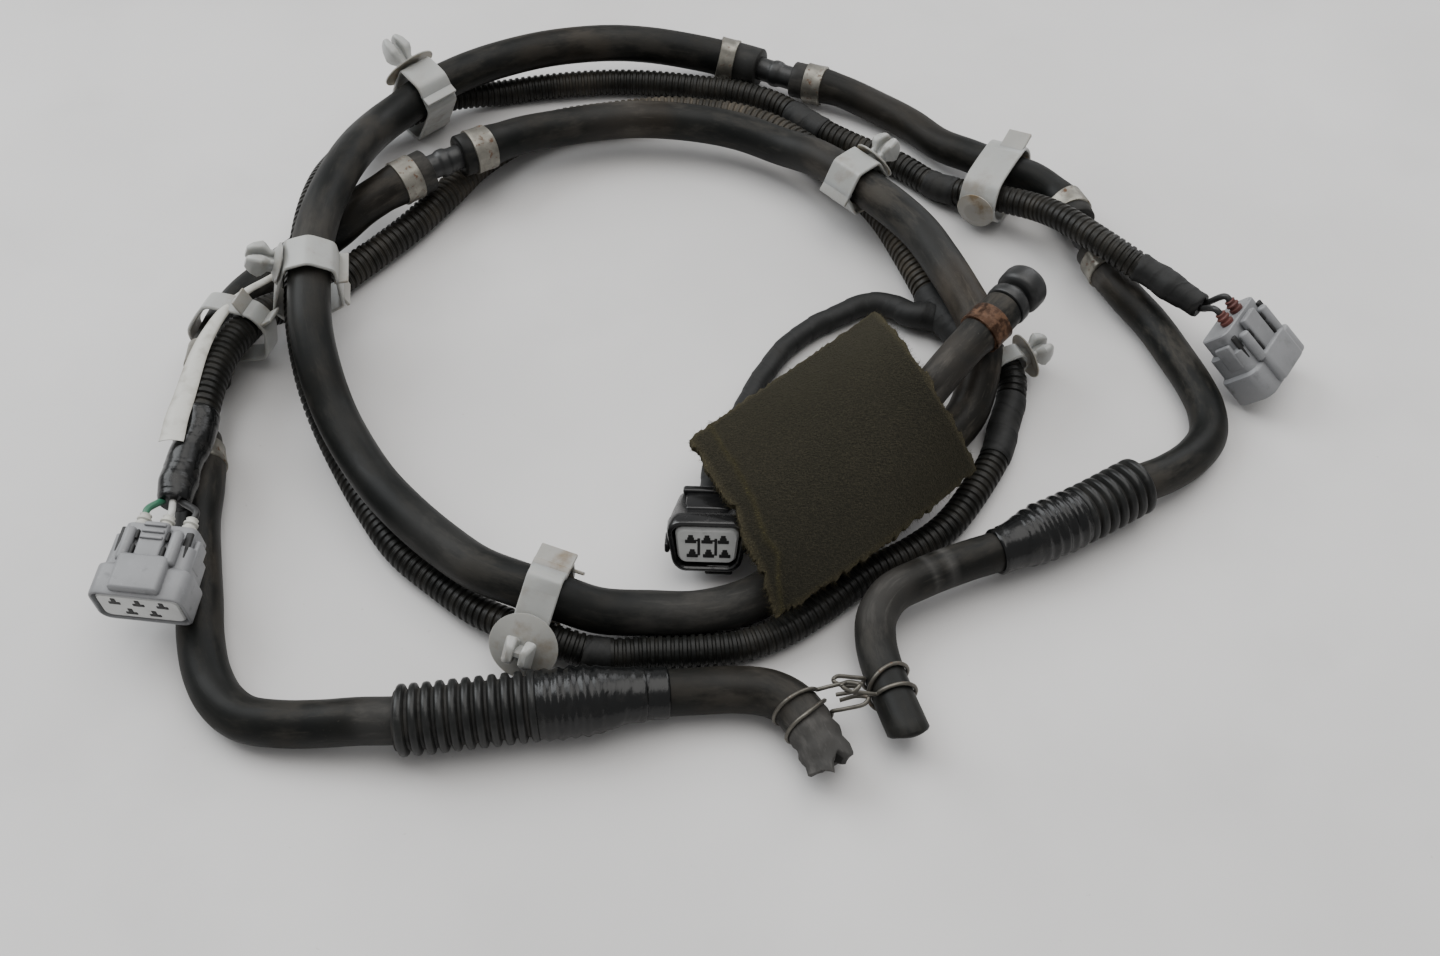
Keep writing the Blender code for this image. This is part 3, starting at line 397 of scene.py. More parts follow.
def zincLook(name, tarnish, rust):
    # zinc-plated steel gone dull, with brown spots
    look = Finish(name)
    cloud = look.noise(220.0, 4.0).above(0.35, 0.7)
    spots = look.noise(420.0, 5.0, rough=0.65).above(0.62 - rust * 0.35, 0.74 - rust * 0.2)
    brush = look.noise(1500.0, 2.0, look.mark("lie", "Vector"), stretch=(1.0, 1.0, 0.1))
    metal = look.mix(cloud, tuple(0.62 * c for c in tarnish), tarnish)
    rusty = look.mix(spots, metal, (0.098, 0.045, 0.02))
    pits = look.noise(900.0, 4.0)
    return look.finish(rusty, 0.48 + spots * 0.35 - cloud * 0.08, brush * 0.3 + spots * pits, 0.00015,
                       0.75 - spots * 0.7, 0.5)


def nylonLook():
    # milky moulded nylon that lets light in a little, browned by grime and by the stain mark, which on the far right
    # clip's flange is painted shade as well as stain
    look = Finish("clipNylon", IOR=1.53, Subsurface_Weight=0.25, Subsurface_Radius=(0.003, 0.0026, 0.002),
                  Subsurface_Scale=1.0)
    grime = look.noise(95.0, 5.0, rough=0.6).above(0.5, 0.78)
    speck = look.noise(1100.0, 3.0).above(0.68, 0.78)
    cloud = look.noise(60.0, 3.0)
    milk = look.mix(cloud, (0.27, 0.277, 0.268), (0.38, 0.383, 0.368))
    # the stain mark browns real stains, and on the far right clip's flange it is also painted shade
    stainedAndShaded = look.mark("stain")
    dirt = look.mix(grime * 0.55 + stainedAndShaded * (0.4 + grime * 0.5), milk, (0.17, 0.13, 0.082))
    spotted = look.mix(speck * 0.5, dirt, (0.1, 0.08, 0.055))
    return look.finish(spotted, 0.34 + grime * 0.25, look.noise(800.0, 2.0) + cloud, 0.0001, strength=0.25)


def mouldedLook(name, colour, shade, roughness):
    # moulded plastic with a fine grain, rubbed lighter here and there and grimed darker in other patches
    look = Finish(name, IOR=1.5)
    cloud = look.noise(85.0, 4.0).above(0.35, 0.75)
    rub = look.noise(640.0, 4.0).above(0.6, 0.74)
    grime = look.noise(210.0, 5.0, rough=0.6).above(0.56, 0.74)
    base = look.mix(cloud, colour, shade)
    rubbed = look.mix(rub * 0.35, base, tuple(min(1.0, 1.25 * c + 0.02) for c in colour))
    dirty = look.mix(grime * 0.45, rubbed, tuple(0.45 * c for c in colour))
    return look.finish(dirty, roughness + grime * 0.25, look.noise(2200.0, 2.0), 0.00008, strength=0.35)


def feltLook():
    # pressed felt: tangled fibres, thin yellow ones at the cut edges and the crease, darker where it is soaked
    look = Finish("feltPad", Sheen_Weight=0.12, Sheen_Roughness=0.5, Sheen_Tint=(0.6, 0.55, 0.35, 1.0),
                  Specular_IOR_Level=0.15)
    tangle = look.noise(1300.0, 6.0, rough=0.75)
    strands = look.noise(2300.0, 4.0, stretch=(1.0, 0.3, 1.0)).above(0.52, 0.7)
    other = look.noise(2300.0, 4.0, stretch=(0.3, 1.0, 1.0)).above(0.53, 0.7)
    soaked = look.noise(30.0, 4.0).above(0.4, 0.66)
    rim = look.mark("rim")
    crease = look.mark("crease")
    base = look.mix(tangle.above(0.35, 0.65), (0.0068, 0.0062, 0.0046), (0.02, 0.0178, 0.0128))
    fibre = look.mix((strands + other) * 0.32, base, (0.042, 0.037, 0.023))
    damp = look.mix(soaked * 0.5, fibre, (0.009, 0.0085, 0.0062))
    edge = look.mix(rim * (0.25 + strands * 0.6), damp, (0.12, 0.1, 0.052))
    fuzzy = look.mix(crease * (0.15 + other * 0.6), edge, (0.105, 0.09, 0.028))
    return look.finish(fuzzy, 0.96, tangle * 1.2 + strands * 0.5 + other * 0.5, 0.0009, strength=1.0)


def paperLook():
    # a paper strip gone off-white, creased and dirty at its edges
    look = Finish("labelStrip")
    grime = look.noise(170.0, 5.0).above(0.45, 0.75)
    crease = look.noise(520.0, 3.0)
    shade = look.mix(grime * 0.5 + look.mark("rim") * 0.4, (0.5, 0.495, 0.46), (0.2, 0.18, 0.14))
    return look.finish(shade, 0.45 + grime * 0.3, crease, 0.0003, strength=0.5)


def floorLook():
    # a pale painted table with faint clouds and specks
    look = Finish("paleFloor")
    cloud = look.noise(5.0, 4.0).above(0.3, 0.7)
    speck = look.noise(420.0, 2.0).above(0.73, 0.8)
    smudge = look.noise(16.0, 5.0).above(0.5, 0.75)
    shade = look.mix(cloud, (0.585, 0.576, 0.571), (0.665, 0.655, 0.65))
    shade = look.mix(smudge * 0.3, shade, (0.52, 0.512, 0.507))
    return look.finish(look.mix(speck * 0.3, shade, (0.35, 0.33, 0.3)), 0.5, cloud, 0.0002, strength=0.1)


rubber, conduit = hoseRubber(), conduitPlastic()
cloth = tapeLook("clothTape", (0.0095, 0.0098, 0.0096), 0.62, 0.0085, 0.5)
glossy = tapeLook("glossyTape", (0.0055, 0.0058, 0.006), 0.2, 0.011, 0.45)
sleeve, nylon, felt, paper = sleevePlastic(), nylonLook(), feltLook(), paperLook()
zinc = zincLook("crimpZinc", (0.26, 0.248, 0.215), 0.2)
rusted = zincLook("rustyRing", (0.055, 0.026, 0.013), 0.5)
spring = zincLook("springWire", (0.15, 0.14, 0.12), 0.12)
grey = mouldedLook("connectorGrey", (0.215, 0.218, 0.226), (0.175, 0.178, 0.184), 0.42)
pale = mouldedLook("connectorInsert", (0.6, 0.605, 0.595), (0.5, 0.505, 0.495), 0.4)
jet = mouldedLook("connectorBlack", (0.008, 0.008, 0.0085), (0.013, 0.013, 0.013), 0.2)
joint = mouldedLook("jointPlastic", (0.006, 0.0065, 0.0068), (0.011, 0.0115, 0.0115), 0.42)
redSeal = mouldedLook("sealRed", (0.11, 0.03, 0.022), (0.07, 0.02, 0.016), 0.5)
whiteSeal = mouldedLook("sealWhite", (0.5, 0.5, 0.46), (0.4, 0.39, 0.35), 0.5)
darkWire = mouldedLook("wireDark", (0.015, 0.015, 0.015), (0.02, 0.02, 0.02), 0.45)
greenWire = mouldedLook("wireGreen", (0.03, 0.17, 0.09), (0.03, 0.12, 0.07), 0.4)
whiteWire = mouldedLook("wireWhite", (0.45, 0.45, 0.43), (0.36, 0.35, 0.33), 0.4)
# near-black moulding for painted shade: it stands where the port holes and the gaps beside the latch are
portShade = mouldedLook("portPaintedShade", (0.006, 0.006, 0.006), (0.01, 0.01, 0.01), 0.6)
print("finishes ready")

# Camera, floor and lights
view = {"lens": 40.0, "middle": (0.0, -366.0, 420.0), "pitch": 53.0}
camera = bpy.data.objects.new("photoCamera", bpy.data.cameras.new("photoCamera"))
camera.data.lens, camera.data.sensor_width = view["lens"], 36.0
camera.location = place(view["middle"])
camera.rotation_euler = (math.radians(90 - view["pitch"]), 0, 0)
bpy.context.scene.collection.objects.link(camera)
bpy.context.scene.camera = camera

floorMesh = bpy.data.meshes.new("floor")
floorMesh.from_pydata([(-4, -3, 0), (4, -3, 0), (4, 5, 0), (-4, 5, 0)], [], [(0, 1, 2, 3)])
floorMesh.materials.append(floorLook())
floor = bpy.data.objects.new("floor", floorMesh)
bpy.context.scene.collection.objects.link(floor)

lamps = {"windowLeft": ((-1.5, 0.9, 1.5), 1.6, 40.0, (0.95, 0.98, 1.0)),
         "ceiling": ((0.2, 0.3, 1.9), 1.9, 31.0, (1.0, 0.985, 0.96)),
         "roomBack": ((1.2, 1.9, 1.3), 1.4, 18.0, (0.97, 0.98, 1.0))}
for name, (spot, size, power, tint) in lamps.items():
    lamp = bpy.data.lights.new(name, "AREA")
    lamp.energy, lamp.size, lamp.color = power, size, tint
    made = bpy.data.objects.new(name, lamp)
    made.location = spot
    made.rotation_euler = (Vector((0, 0, 0)) - Vector(spot)).to_track_quat("-Z", "Y").to_euler()
    bpy.context.scene.collection.objects.link(made)
world = bpy.data.worlds.new("studio")
world.use_nodes = True
world.node_tree.nodes["Background"].inputs[0].default_value = (0.9, 0.9, 0.9, 1.0)
world.node_tree.nodes["Background"].inputs[1].default_value = 0.5
bpy.context.scene.world = world

# Cords: the routes repeat the hard parts', in the layout's millimetres
routes = {
    "rightOuter": [
    (37, -73, 9), (25, -89.5, 8), (10.5, -101, 7.2), (-6, -106.2, 7.2), (-21, -107, 8.4),
    (-36.7, -107.7, 11), (-48.9, -105.9, 15.7), (-60.9, -103.1, 18.7), (-72.7, -97.8, 18.7),
    (-85.2, -88.2, 18.5), (-96.3, -77.9, 18.5), (-107, -65.9, 18.5), (-116.5, -52.1, 19),
    (-123.7, -39.9, 22), (-129.2, -27.3, 28), (-133, -14.6, 33), (-135, -2.5, 36),
    (-136.3, 13.9, 39), (-136, 31.5, 39.5), (-134, 51.8, 37.5), (-131.3, 75.1, 31),
    (-126.8, 96.4, 23.5), (-119.4, 109.1, 21.5), (-110.5, 120.4, 21.5), (-98.4, 131.8, 20.5),
    (-84.3, 141.6, 19), (-67, 148.5, 18.5), (-45, 153, 17.5), (-28, 155, 15), (-8, 155, 11),
    (7, 153, 8.3), (16, 149, 8.3)],
    "conduitRight": [
    (88.5, 0.5, 8), (95.3, -5.2, 8.2), (98.7, -13, 7.6), (97.6, -21.9, 6), (94.2, -32.5, 5), (90.9, -43.1, 5),
    (83.4, -56.7, 5), (72.3, -72.3, 5), (60.5, -82, 5), (45.5, -91, 5), (30.5, -103.5, 5),
    (19, -111.4, 5), (7, -116.4, 5), (-6.1, -118.2, 5), (-21, -118.9, 5), (-36, -119.8, 6),
    (-48, -117.4, 8.5), (-60.5, -112.4, 8.5), (-73.5, -105, 6.2), (-86.5, -94.5, 5),
    (-100.5, -82, 5), (-111.9, -65.9, 5), (-121.7, -49.4, 5.5), (-129.3, -35.6, 8.5),
    (-135, -23, 14), (-139.5, -8.5, 19), (-143, 9, 22.5), (-144.5, 26.5, 24),
    (-144.4, 45.2, 26.2), (-143.1, 64.9, 24.4), (-140.4, 90.2, 14.8), (-134.5, 110.5, 8.6),
    (-124, 119.5, 8.1), (-106.5, 131, 7.9), (-87, 138, 5), (-67.5, 142, 5), (-45.5, 144.5, 5),
    (-28, 144, 5), (-8, 141, 5), (8, 137.5, 5), (22, 131, 5), (37, 117.5, 5), (51, 107, 5),
    (67.5, 96.5, 5), (82.5, 83, 5.5), (99, 72.5, 10.9), (114.5, 62.5, 15), (122.5, 52, 19.5),
    (134.5, 36.5, 22.2), (146, 26, 20.8)],
    "leftInner": [
    (64, -48, 8.5), (75, -38.5, 8.5), (82, -29.5, 10), (85.5, -20.5, 14.5), (87.3, -10, 20),
    (86, 3, 21), (82.5, 15.5, 20.5), (77, 31, 20), (70, 46, 20), (55.5, 64.5, 20),
    (37, 84.5, 18), (22.5, 96, 14.5), (7.5, 104.5, 14), (-7.5, 109, 14), (-27, 111.5, 14),
    (-43.5, 110.5, 14), (-61, 106, 14.5), (-75.5, 98.5, 17.2), (-89, 87.5, 20.3),
    (-96, 83, 20.8)],
    "leftMid": [
    (-107, 76, 20.8), (-119, 66.5, 20.6), (-129, 58.5, 18.8), (-138.5, 51.5, 14),
    (-151.5, 44, 8.6), (-161, 34, 7.4), (-168, 22.5, 8.2), (-171.5, 8, 10.2),
    (-173.5, -5, 9), (-173, -15, 8.5)],
    "leftEnd": [
    (-171.5, -40, 8.3), (-166.5, -57, 8.3), (-165.3, -72, 7.5), (-162.4, -86.5, 7.2),
    (-159, -101.5, 7), (-156, -115.5, 7), (-151.5, -128, 7), (-145.5, -137, 7.2),
    (-138, -142.5, 7.5), (-127.5, -144.5, 8), (-115.5, -145, 9), (-104, -145, 10.5),
    (-92.5, -145, 11), (-75, -143, 11), (-52, -140, 11), (-35, -138, 11), (-26, -136.5, 10.5),
    (-16, -135, 9.2), (-6, -134, 8.5), (6, -133.5, 8.5), (15, -135, 8.7), (22, -139.5, 8.8),
    (26.5, -147, 8.8), (32, -157.5, 8.8)],
    "rightMid": [
    (29, 142.5, 8.3), (46, 136, 8.3), (62.5, 126, 7), (73.5, 117, 7), (84, 104.2, 8),
    (94.5, 96, 9.6), (106.4, 87.9, 10.4), (116.8, 83.3, 9.6), (124.1, 77.3, 8), (129, 69, 7.8),
    (131, 61.5, 7.8)],
    "rightEnd": [
    (135, 48, 7.8), (141.5, 28.5, 7.8), (150.5, 13, 6.5), (156, -1.5, 6.5),
    (160.5, -15, 6.5), (162.5, -26, 6.5), (161, -37, 6.5), (154, -46.5, 7.2),
    (144, -54.5, 9), (134, -60, 10.4), (117, -70, 10.4), (100, -79, 10.4),
    (88.5, -85, 10.8), (74.5, -91, 12), (61.5, -97.5, 13.2), (51.5, -103.5, 13.2),
    (47, -110.5, 11.5), (46.5, -117, 9.3), (47.5, -123.5, 8), (50.5, -135, 8),
    (54.5, -147.5, 8)],
    "feed": [
    (55, -43, 17), (60, -39, 20), (66, -34.5, 24.5), (73, -28, 30), (80, -21, 33.5),
    (87, -13.5, 34.5), (93, -6, 34.5)],
    "conduitLeft": [
    (-166.5, -44, 22.4), (-166.5, -32.5, 22.6), (-166, -22, 22), (-164.5, -11, 20.5),
    (-161.5, -1, 18.4), (-158, 8, 16), (-153.5, 14.5, 13), (-147.5, 20.5, 9), (-140.5, 29, 6.2),
    (-132, 39.5, 6), (-123, 50, 6), (-112.5, 63, 6), (-102, 79, 6), (-91.5, 96, 6),
    (-77, 110, 6), (-62, 118.5, 6), (-44.5, 122.5, 6), (-21, 126, 6), (-8, 125, 6),
    (8, 121.5, 6), (21.5, 114.5, 6), (32.5, 105, 6), (42.5, 94, 6), (53, 79.5, 6),
    (61, 65.5, 6), (66.5, 51.5, 6), (72.5, 34, 6), (75.5, 24, 6)],
    "branch": [
    (66.3, 18, 6), (59.8, 23.2, 4.6), (51.4, 24.6, 3.8), (41.8, 19.3, 3.8), (31.4, 12.8, 3.8),
    (22.4, 3.8, 3.8), (15.1, -8.1, 4.4), (9.7, -20.4, 6), (4.5, -35, 8), (-1.2, -46, 7.4),
    (-2.8, -57.3, 6.6), (-3.1, -66.4, 8.8)],
    "rightLead": [(151.2, 21.5, 20.5), (157.7, 14.9, 20), (164.2, 8.8, 19.5)],
    "leftTape": [(-167, -55, 22.4), (-168, -66, 22.2), (-168, -76, 22)],
}
lines = {name: Route(points) for name, points in routes.items()}


def nearOn(line, node):
    # the distance along a line at which a hard part sits
    low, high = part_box(node)
    middle = (np.array(low) + np.array(high)) / 2
    return float(line.at[np.linalg.norm(line.spots - middle, axis=1).argmin()])


def ease(value, low, high):
    share = np.clip((value - low) / (high - low), 0, 1)
    return share * share * (3 - 2 * share)


def taped(name, shapes, look, node=None):
    # wound tape as one piece, of cloth or shiny
    return piece(name, shapes, look, node, 50.0)


hoses = {  # worn lists (place, half length in mm, how much)
    "hose_right_outer": {"line": "rightOuter", "diameter": 14.0, "swell": (0, 1), "open": None, "dust": 0.5,
                         "worn": [((-6, -106, 7), 22, 0.3), ((-84, -88, 18), 14, 0.25), ((-136, 20, 39), 16, 0.22),
                                  ((16, 149, 8), 11, 0.3)]},
    "hose_right_mid": {"line": "rightMid", "diameter": 12.5, "swell": (1, 1), "open": None, "dust": 0.25,
                       "worn": [((29, 142, 8), 8, 0.25), ((131, 61, 8), 6, 0.35)]},
    "hose_right_end": {"line": "rightEnd", "diameter": 12.5, "swell": (1, 0), "open": "cut", "dust": 0.4,
                       "worn": [((136, 44, 8), 4, 0.6), ((140, 33, 8), 2, 0.5), ((68, -93.5, 12), 1.6, 0.7),
                                ((63, -96.5, 13), 1.3, 0.6), ((50, -106, 12.5), 9, 0.5), ((46.5, -117, 9), 10, 0.3)]},
    "hose_left_inner": {"line": "leftInner", "diameter": 14.0, "swell": (0, 1), "open": None, "dust": 0.6,
                        "worn": [((40, 81, 18), 20, 0.2), ((75, 33, 20), 16, 0.3), ((-40, 110, 14), 12, 0.15)]},
    "hose_left_mid": {"line": "leftMid", "diameter": 14.0, "swell": (1, 1), "open": None, "dust": 0.3,
                      "worn": [((-107, 76, 21), 7, 0.3)]},
    "hose_left_end": {"line": "leftEnd", "diameter": 14.0, "swell": (1, 0), "open": "torn", "dust": 0.4,
                      "worn": [((-97, -145, 11), 7, 0.5), ((31, -156, 9), 13, 1.0), ((-166, -58, 8), 10, 0.2)]},
    "hose_feed": {"line": "feed", "diameter": 12.5, "swell": (0, 1), "open": None, "dust": 0.6,
                  "worn": [((70, -31, 27), 18, 0.45)]}}


def hoseRadius(setting, along, length):
    # the bore is stretched over the joint tube at each joined end, and the rubber wanders a little
    uneven, stretched = 0.012, 0.1
    radius = mm / 2 * setting["diameter"] * (1 + uneven * wander(along, 0.03, len(setting["line"])))
    for end, distance in zip(setting["swell"], (along, length - along)):
        radius = radius * (1 + stretched * end * (1 - ease(distance, 0.011, 0.02)))
    return radius


def makeHose(name, setting):
    # an open end turns in over its lip and runs back down the bore
    ringsApart, boreShare, sides, aslant = 0.0015, 0.62, 36, 0.0036
    line = lines[setting["line"]]
    length = line.length
    along = np.linspace(0, length, int(length / ringsApart))
    radius = hoseRadius(setting, along, length)
    bore = mm / 2 * setting["diameter"] * boreShare
    back, lip = (0.03, 0.0006) if setting["open"] else (0.0015, 0.0004)
    along = np.concatenate([[ringsApart, 0.0, 0.0, lip], along[2:-2],
                            [length - lip, length, length, length - 0.3 * lip, length - back]])
    radius = np.concatenate([[bore] * 2, [radius[0] - lip, radius[0]], radius[2:-2],
                             [radius[-1], radius[-1] - lip, bore + lip, bore, bore]])
    angle = circle(sides)
    shape = radius[:, None] * np.ones((1, sides))
    reach = along[:, None] * np.ones((1, sides))
    if setting["open"] == "torn":
        # the torn mouth: sagged flat, its top reaching past its underside, with an arched tear and
        # crumpled folds
        tearDepth, overhang, foldDepth, dentDepth, sag, spread = 0.0034, 0.0026, 0.0004, 0.0005, 0.24, 0.04
        late = ease(along, length - 0.014, length)[:, None]
        ragged = 0.0009 * np.sin(2 * angle + 0.6) + 0.0005 * np.sin(5 * angle) + 0.0003 * np.sin(11 * angle + 2)
        tear = -tearDepth * np.exp(-((np.mod(angle + 0.1 + math.pi, 2 * math.pi) - math.pi) / 0.5) ** 4)
        reach = reach + late * (ragged + tear + overhang * np.cos(angle) + 0.0008)
        folds = foldDepth * np.sin(along[:, None] / 0.0009 + 1.8 * np.sin(angle + 0.5)) * ease(
            along, length - 0.02, length - 0.012)[:, None]
        dents = dentDepth * late * np.sin(3 * angle + along[:, None] / 0.003)
        shape = shape * (1 - sag * late * np.cos(angle) ** 2 + spread * late * np.sin(angle) ** 2) + folds + dents
    elif setting["open"]:  # cut aslant, so that the top overhangs the bore
        reach = reach + aslant * ease(along, length - 0.01, length)[:, None] * np.cos(angle)
    spot, way, lift, side = (v[:, None, :] for v in line.frame(along))
    grid = (spot + way * (reach - along[:, None])[..., None]
            + shape[..., None] * (np.cos(angle)[..., None] * lift + np.sin(angle)[..., None] * side))
    lie = np.stack(np.broadcast_arrays(shape * np.cos(angle), shape * np.sin(angle), reach), axis=2)
    dust = setting["dust"] * (0.8 + 0.6 * wander(along, 0.045, 7))
    worn = sum(much * np.exp(-((along - line.near(spot)) / (mm * half)) ** 4)
               for spot, half, much in setting["worn"])
    made = piece(name + "_rubber", [form(grid, lie=lie, dust=np.clip(dust, 0, 1.2)[:, None],
                                         worn=np.clip(worn, 0, 1)[:, None])], rubber, name,
                 smooth=60.0)
    if name != "hose_feed":  # the feed is a short stub; the line below computes the diameter and keeps nothing
        mm * setting["diameter"]


for name, setting in hoses.items():
    makeHose(name, setting)
print("hoses laid")

conduits = {
    "conduit_right": {"line": "conduitRight", "diameter": 10.0, "pitch": 2.45, "depth": 0.55, "slit": 2.7,
                      "dust": [(0.0, 0.15), (0.2, 0.1), (0.45, 0.15), (0.53, 0.3), (0.6, 0.25), (0.83, 0.2)]},
    "conduit_left": {"line": "conduitLeft", "diameter": 11.5, "pitch": 2.5, "depth": 0.62, "slit": -0.8,
                     "dust": [(0.0, 0.2), (0.12, 0.25), (0.17, 0.6), (0.22, 0.95), (0.27, 0.9), (0.3, 0.4),
                              (0.34, 0.85), (0.4, 0.9)]}}


def makeConduit(name, setting):
    # four rings to a rib: a narrow groove, a flat crest; a slit runs the whole length
    ringsAt, slitHalf, slitDepth, slitDrift, sides = np.array([0.0, 0.26, 0.42, 0.84]), 0.12, 0.0009, 0.15, 28
    line = lines[setting["line"]]
    pitch, length = mm * setting["pitch"], line.length
    count = int(length / pitch)
    along = ((np.arange(count)[:, None] + ringsAt[None, :]) * length / count).ravel()
    crest = np.tile([0.0, 0.0, 1.0, 1.0], count)
    radius = mm / 2 * setting["diameter"] - mm * setting["depth"] * (1 - crest)
    angle = circle(sides)
    near = np.abs(np.mod(angle - setting["slit"] - slitDrift * wander(along, 0.06, 3)[:, None] + math.pi,
                         2 * math.pi) - math.pi) < slitHalf
    shape = radius[:, None] - near * crest[:, None] * slitDepth
    at, amount = np.array(setting["dust"]).T
    dust = np.interp(along, at, amount) * (0.85 + 0.4 * wander(along, 0.02, 11))
    made = piece(name + "_ribbed", [carried(line, along, shape, sides, crest=crest, dust=np.clip(dust, 0, 1.2))],
                 conduit, name, smooth=32.0)
    mm * setting["diameter"]


for name, setting in conduits.items():
    makeConduit(name, setting)


def wound(line, start, end, radius, lap, seed, lumps):
    # tape wound round a line: each turn steps up over the last, with soft lumps under it
    sides, ringsApart, tapeWall, endShare = 32, 0.0007, 0.00022, 0.93
    along = np.arange(start, end, ringsApart)
    angle = circle(sides)
    base = np.interp(along, np.linspace(start, end, len(radius)), radius)[:, None] * 0.001
    turn = np.mod(along[:, None] / lap + angle / (2 * math.pi), 1.0)
    lump = (wander(along, 0.009, seed)[:, None] * np.cos(angle - 1.0)
            + wander(along, 0.006, seed + 1)[:, None] * np.sin(2 * angle + 0.5))
    shape = base * (1 + lumps * lump) + tapeWall * turn
    shape[[0, -1]] *= endShare
    dust = 0.25 + 0.25 * wander(along, 0.02, seed + 2)
    return carried(line, along, shape, sides, dust=dust)


# Short stretches of the right conduit that are bound with tape
bindings = {"conduit_right_binding_upper": {"at": (82.5, 83, 5.5), "reach": (-5, 8), "radius": 5.25, "seed": 13},
            "conduit_right_binding_back": {"at": (34, 120, 5), "reach": (-9, 9), "radius": 5.2, "seed": 17},
            "conduit_right_binding_lower": {"at": (94.2, -32.5, 5), "reach": (-13, 14), "radius": 5.2, "seed": 15},
            "conduit_right_binding_front": {"at": (-48, -117, 8.5), "reach": (-16, -7), "radius": 5.2, "seed": 19}}
for name, setting in bindings.items():
    line = lines["conduitRight"]
    middle = line.near(setting["at"])
    low, high = (middle + mm * reach for reach in setting["reach"])
    taped(name, [wound(line, low, high, [setting["radius"] - 0.1, setting["radius"], setting["radius"] - 0.1],
                       0.007, setting["seed"], 0.03)], cloth)

branch = lines["branch"]
radii = [4.3, 4.0, 3.6, 3.5, 3.4, 3.5, 3.5]
made = taped("branch_lead_tape", [wound(branch, 0, branch.length, radii, 0.008, 21, 0.06)], cloth, "branch_lead")

# Taped ends and the taped junction, each wound over the lead it closes
rightTail = Route([routes["conduitRight"][-2], routes["conduitRight"][-1]] + routes["rightLead"])
leftTail = Route([routes["conduitLeft"][1], routes["conduitLeft"][0]] + routes["leftTape"])
knot = Route(routes["conduitLeft"][-2:] + [(80, 13, 7)] + routes["conduitRight"][:2])
start = rightTail.near(routes["conduitRight"][-1])
radii = [5.3, 5.0, 5.4, 4.7, 4.3]
taped("right_lead_wound", [wound(rightTail, start - 0.001, rightTail.length, radii, 0.006, 31, 0.09)],
      cloth, "right_lead_tape")
start = leftTail.near(routes["conduitLeft"][0])
radii = [6.4, 6.1, 5.8, 5.6, 5.9, 5.0]
taped("left_end_wound", [wound(leftTail, start - 0.003, leftTail.length, radii, 0.011, 41, 0.08)],
      glossy, "left_end_tape")
stub = Route([routes["branch"][1], routes["branch"][0], (76, 16, 7)])
low, high = knot.near(routes["conduitLeft"][-1]) - 0.004, knot.near(routes["conduitRight"][0]) + 0.004
taped("junction_wound", [wound(knot, low, high, [6.2, 6.6, 6.4, 6.0, 5.5], 0.009, 51, 0.07),
                         wound(stub, 0.005, stub.length, [4.2, 4.8, 5.4], 0.008, 55, 0.07)], cloth, "junction_tape")
print("conduits and taped leads laid")

# Joint tubes between hoses, and the tee under the pad
joints = {"joint_left_upper": ("leftInner", "leftMid"), "joint_left_lower": ("leftMid", "leftEnd"),
          "joint_right_upper": ("rightOuter", "rightMid"), "joint_right_lower": ("rightMid", "rightEnd")}
tube = {"radius": 4.5, "bead": 5.2, "into": 0.004}


def beaded(line, start, end, radius, bead):
    # a straight-walled tube with a raised bead at its middle
    along = np.linspace(start, end, 60)
    share = (along - start) / (end - start)
    shape = mm * (radius + (bead - radius) * np.exp(-((share - 0.5) / 0.09) ** 4))
    return carried(line, along, shape, 28)


for name, (before, after) in joints.items():
    line = Route(routes[before][-2:] + routes[after][:2])
    start, end = line.near(routes[before][-1]), line.near(routes[after][0])
    piece(name + "_tube", [beaded(line, start - tube["into"], end + tube["into"], tube["radius"], tube["bead"])],
          joint, name)
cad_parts["tee_fitting"].data.materials.clear()
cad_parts["tee_fitting"].data.materials.append(joint)

# Crimp rings: a pressed band with rolled edges and a small lapped joint
rings = {"ring_right_outer": ("rightOuter", 14.0, 0.3), "ring_right_mid_upper": ("rightMid", 12.5, 2.6),
         "ring_left_inner": ("leftInner", 14.0, 4.4), "ring_left_mid_upper": ("leftMid", 14.0, 2.2),
         "ring_left_mid_lower": ("leftMid", 14.0, 2.9), "ring_left_end": ("leftEnd", 14.0, 3.3),
         "ring_right_mid_lower": ("rightMid", 12.5, 1.1), "ring_right_end": ("rightEnd", 12.5, 0.8),
         "ring_tee_right": ("rightOuter", 14.0, 2.0), "ring_tee_left": ("leftInner", 14.0, 1.0),
         "ring_feed": ("feed", 12.5, 1.5)}
ring = {"length": 7.5, "wall": 0.85, "edge": 0.45, "lap": 0.55, "lapHalf": 0.24, "loose": 1.07, "sides": 48}
for name, (lineName, diameter, lapAt) in rings.items():
    line = lines[lineName]
    middle, sides = nearOn(line, name), ring["sides"]
    half, edge, wall = mm / 2 * ring["length"], mm * ring["edge"], mm * ring["wall"]
    inner = mm / 2 * diameter * ring["loose"]
    profile = [(-half, -0.1), (-half, 0.5), (-half + 0.4 * edge, 0.9), (-half + edge, 1.0), (-half * 0.4, 0.82),
               (half * 0.4, 0.82), (half - edge, 1.0), (half - 0.4 * edge, 0.9), (half, 0.5), (half, -0.1)]
    along = middle + np.array([row[0] for row in profile])
    lap = np.exp(-((np.mod(circle(sides) - lapAt + math.pi, 2 * math.pi) - math.pi) / ring["lapHalf"]) ** 6)
    rise = np.array([row[1] for row in profile])[:, None]
    shape = inner + wall * rise + mm * ring["lap"] * lap * (rise > 0)
    lining = np.full((len(along), sides), inner * 0.97)
    grid, lie = ringsRound(line, np.append(along, along[::-1]), np.vstack([shape, lining]), sides)
    look, slot = (rusted, "rusty_ring") if name == "ring_feed" else (zinc, "crimp_zinc")
    piece(name + "_band", [form(grid, wrapAlong=True, lie=lie)], look, name, 35.0)
print("rings pressed on")

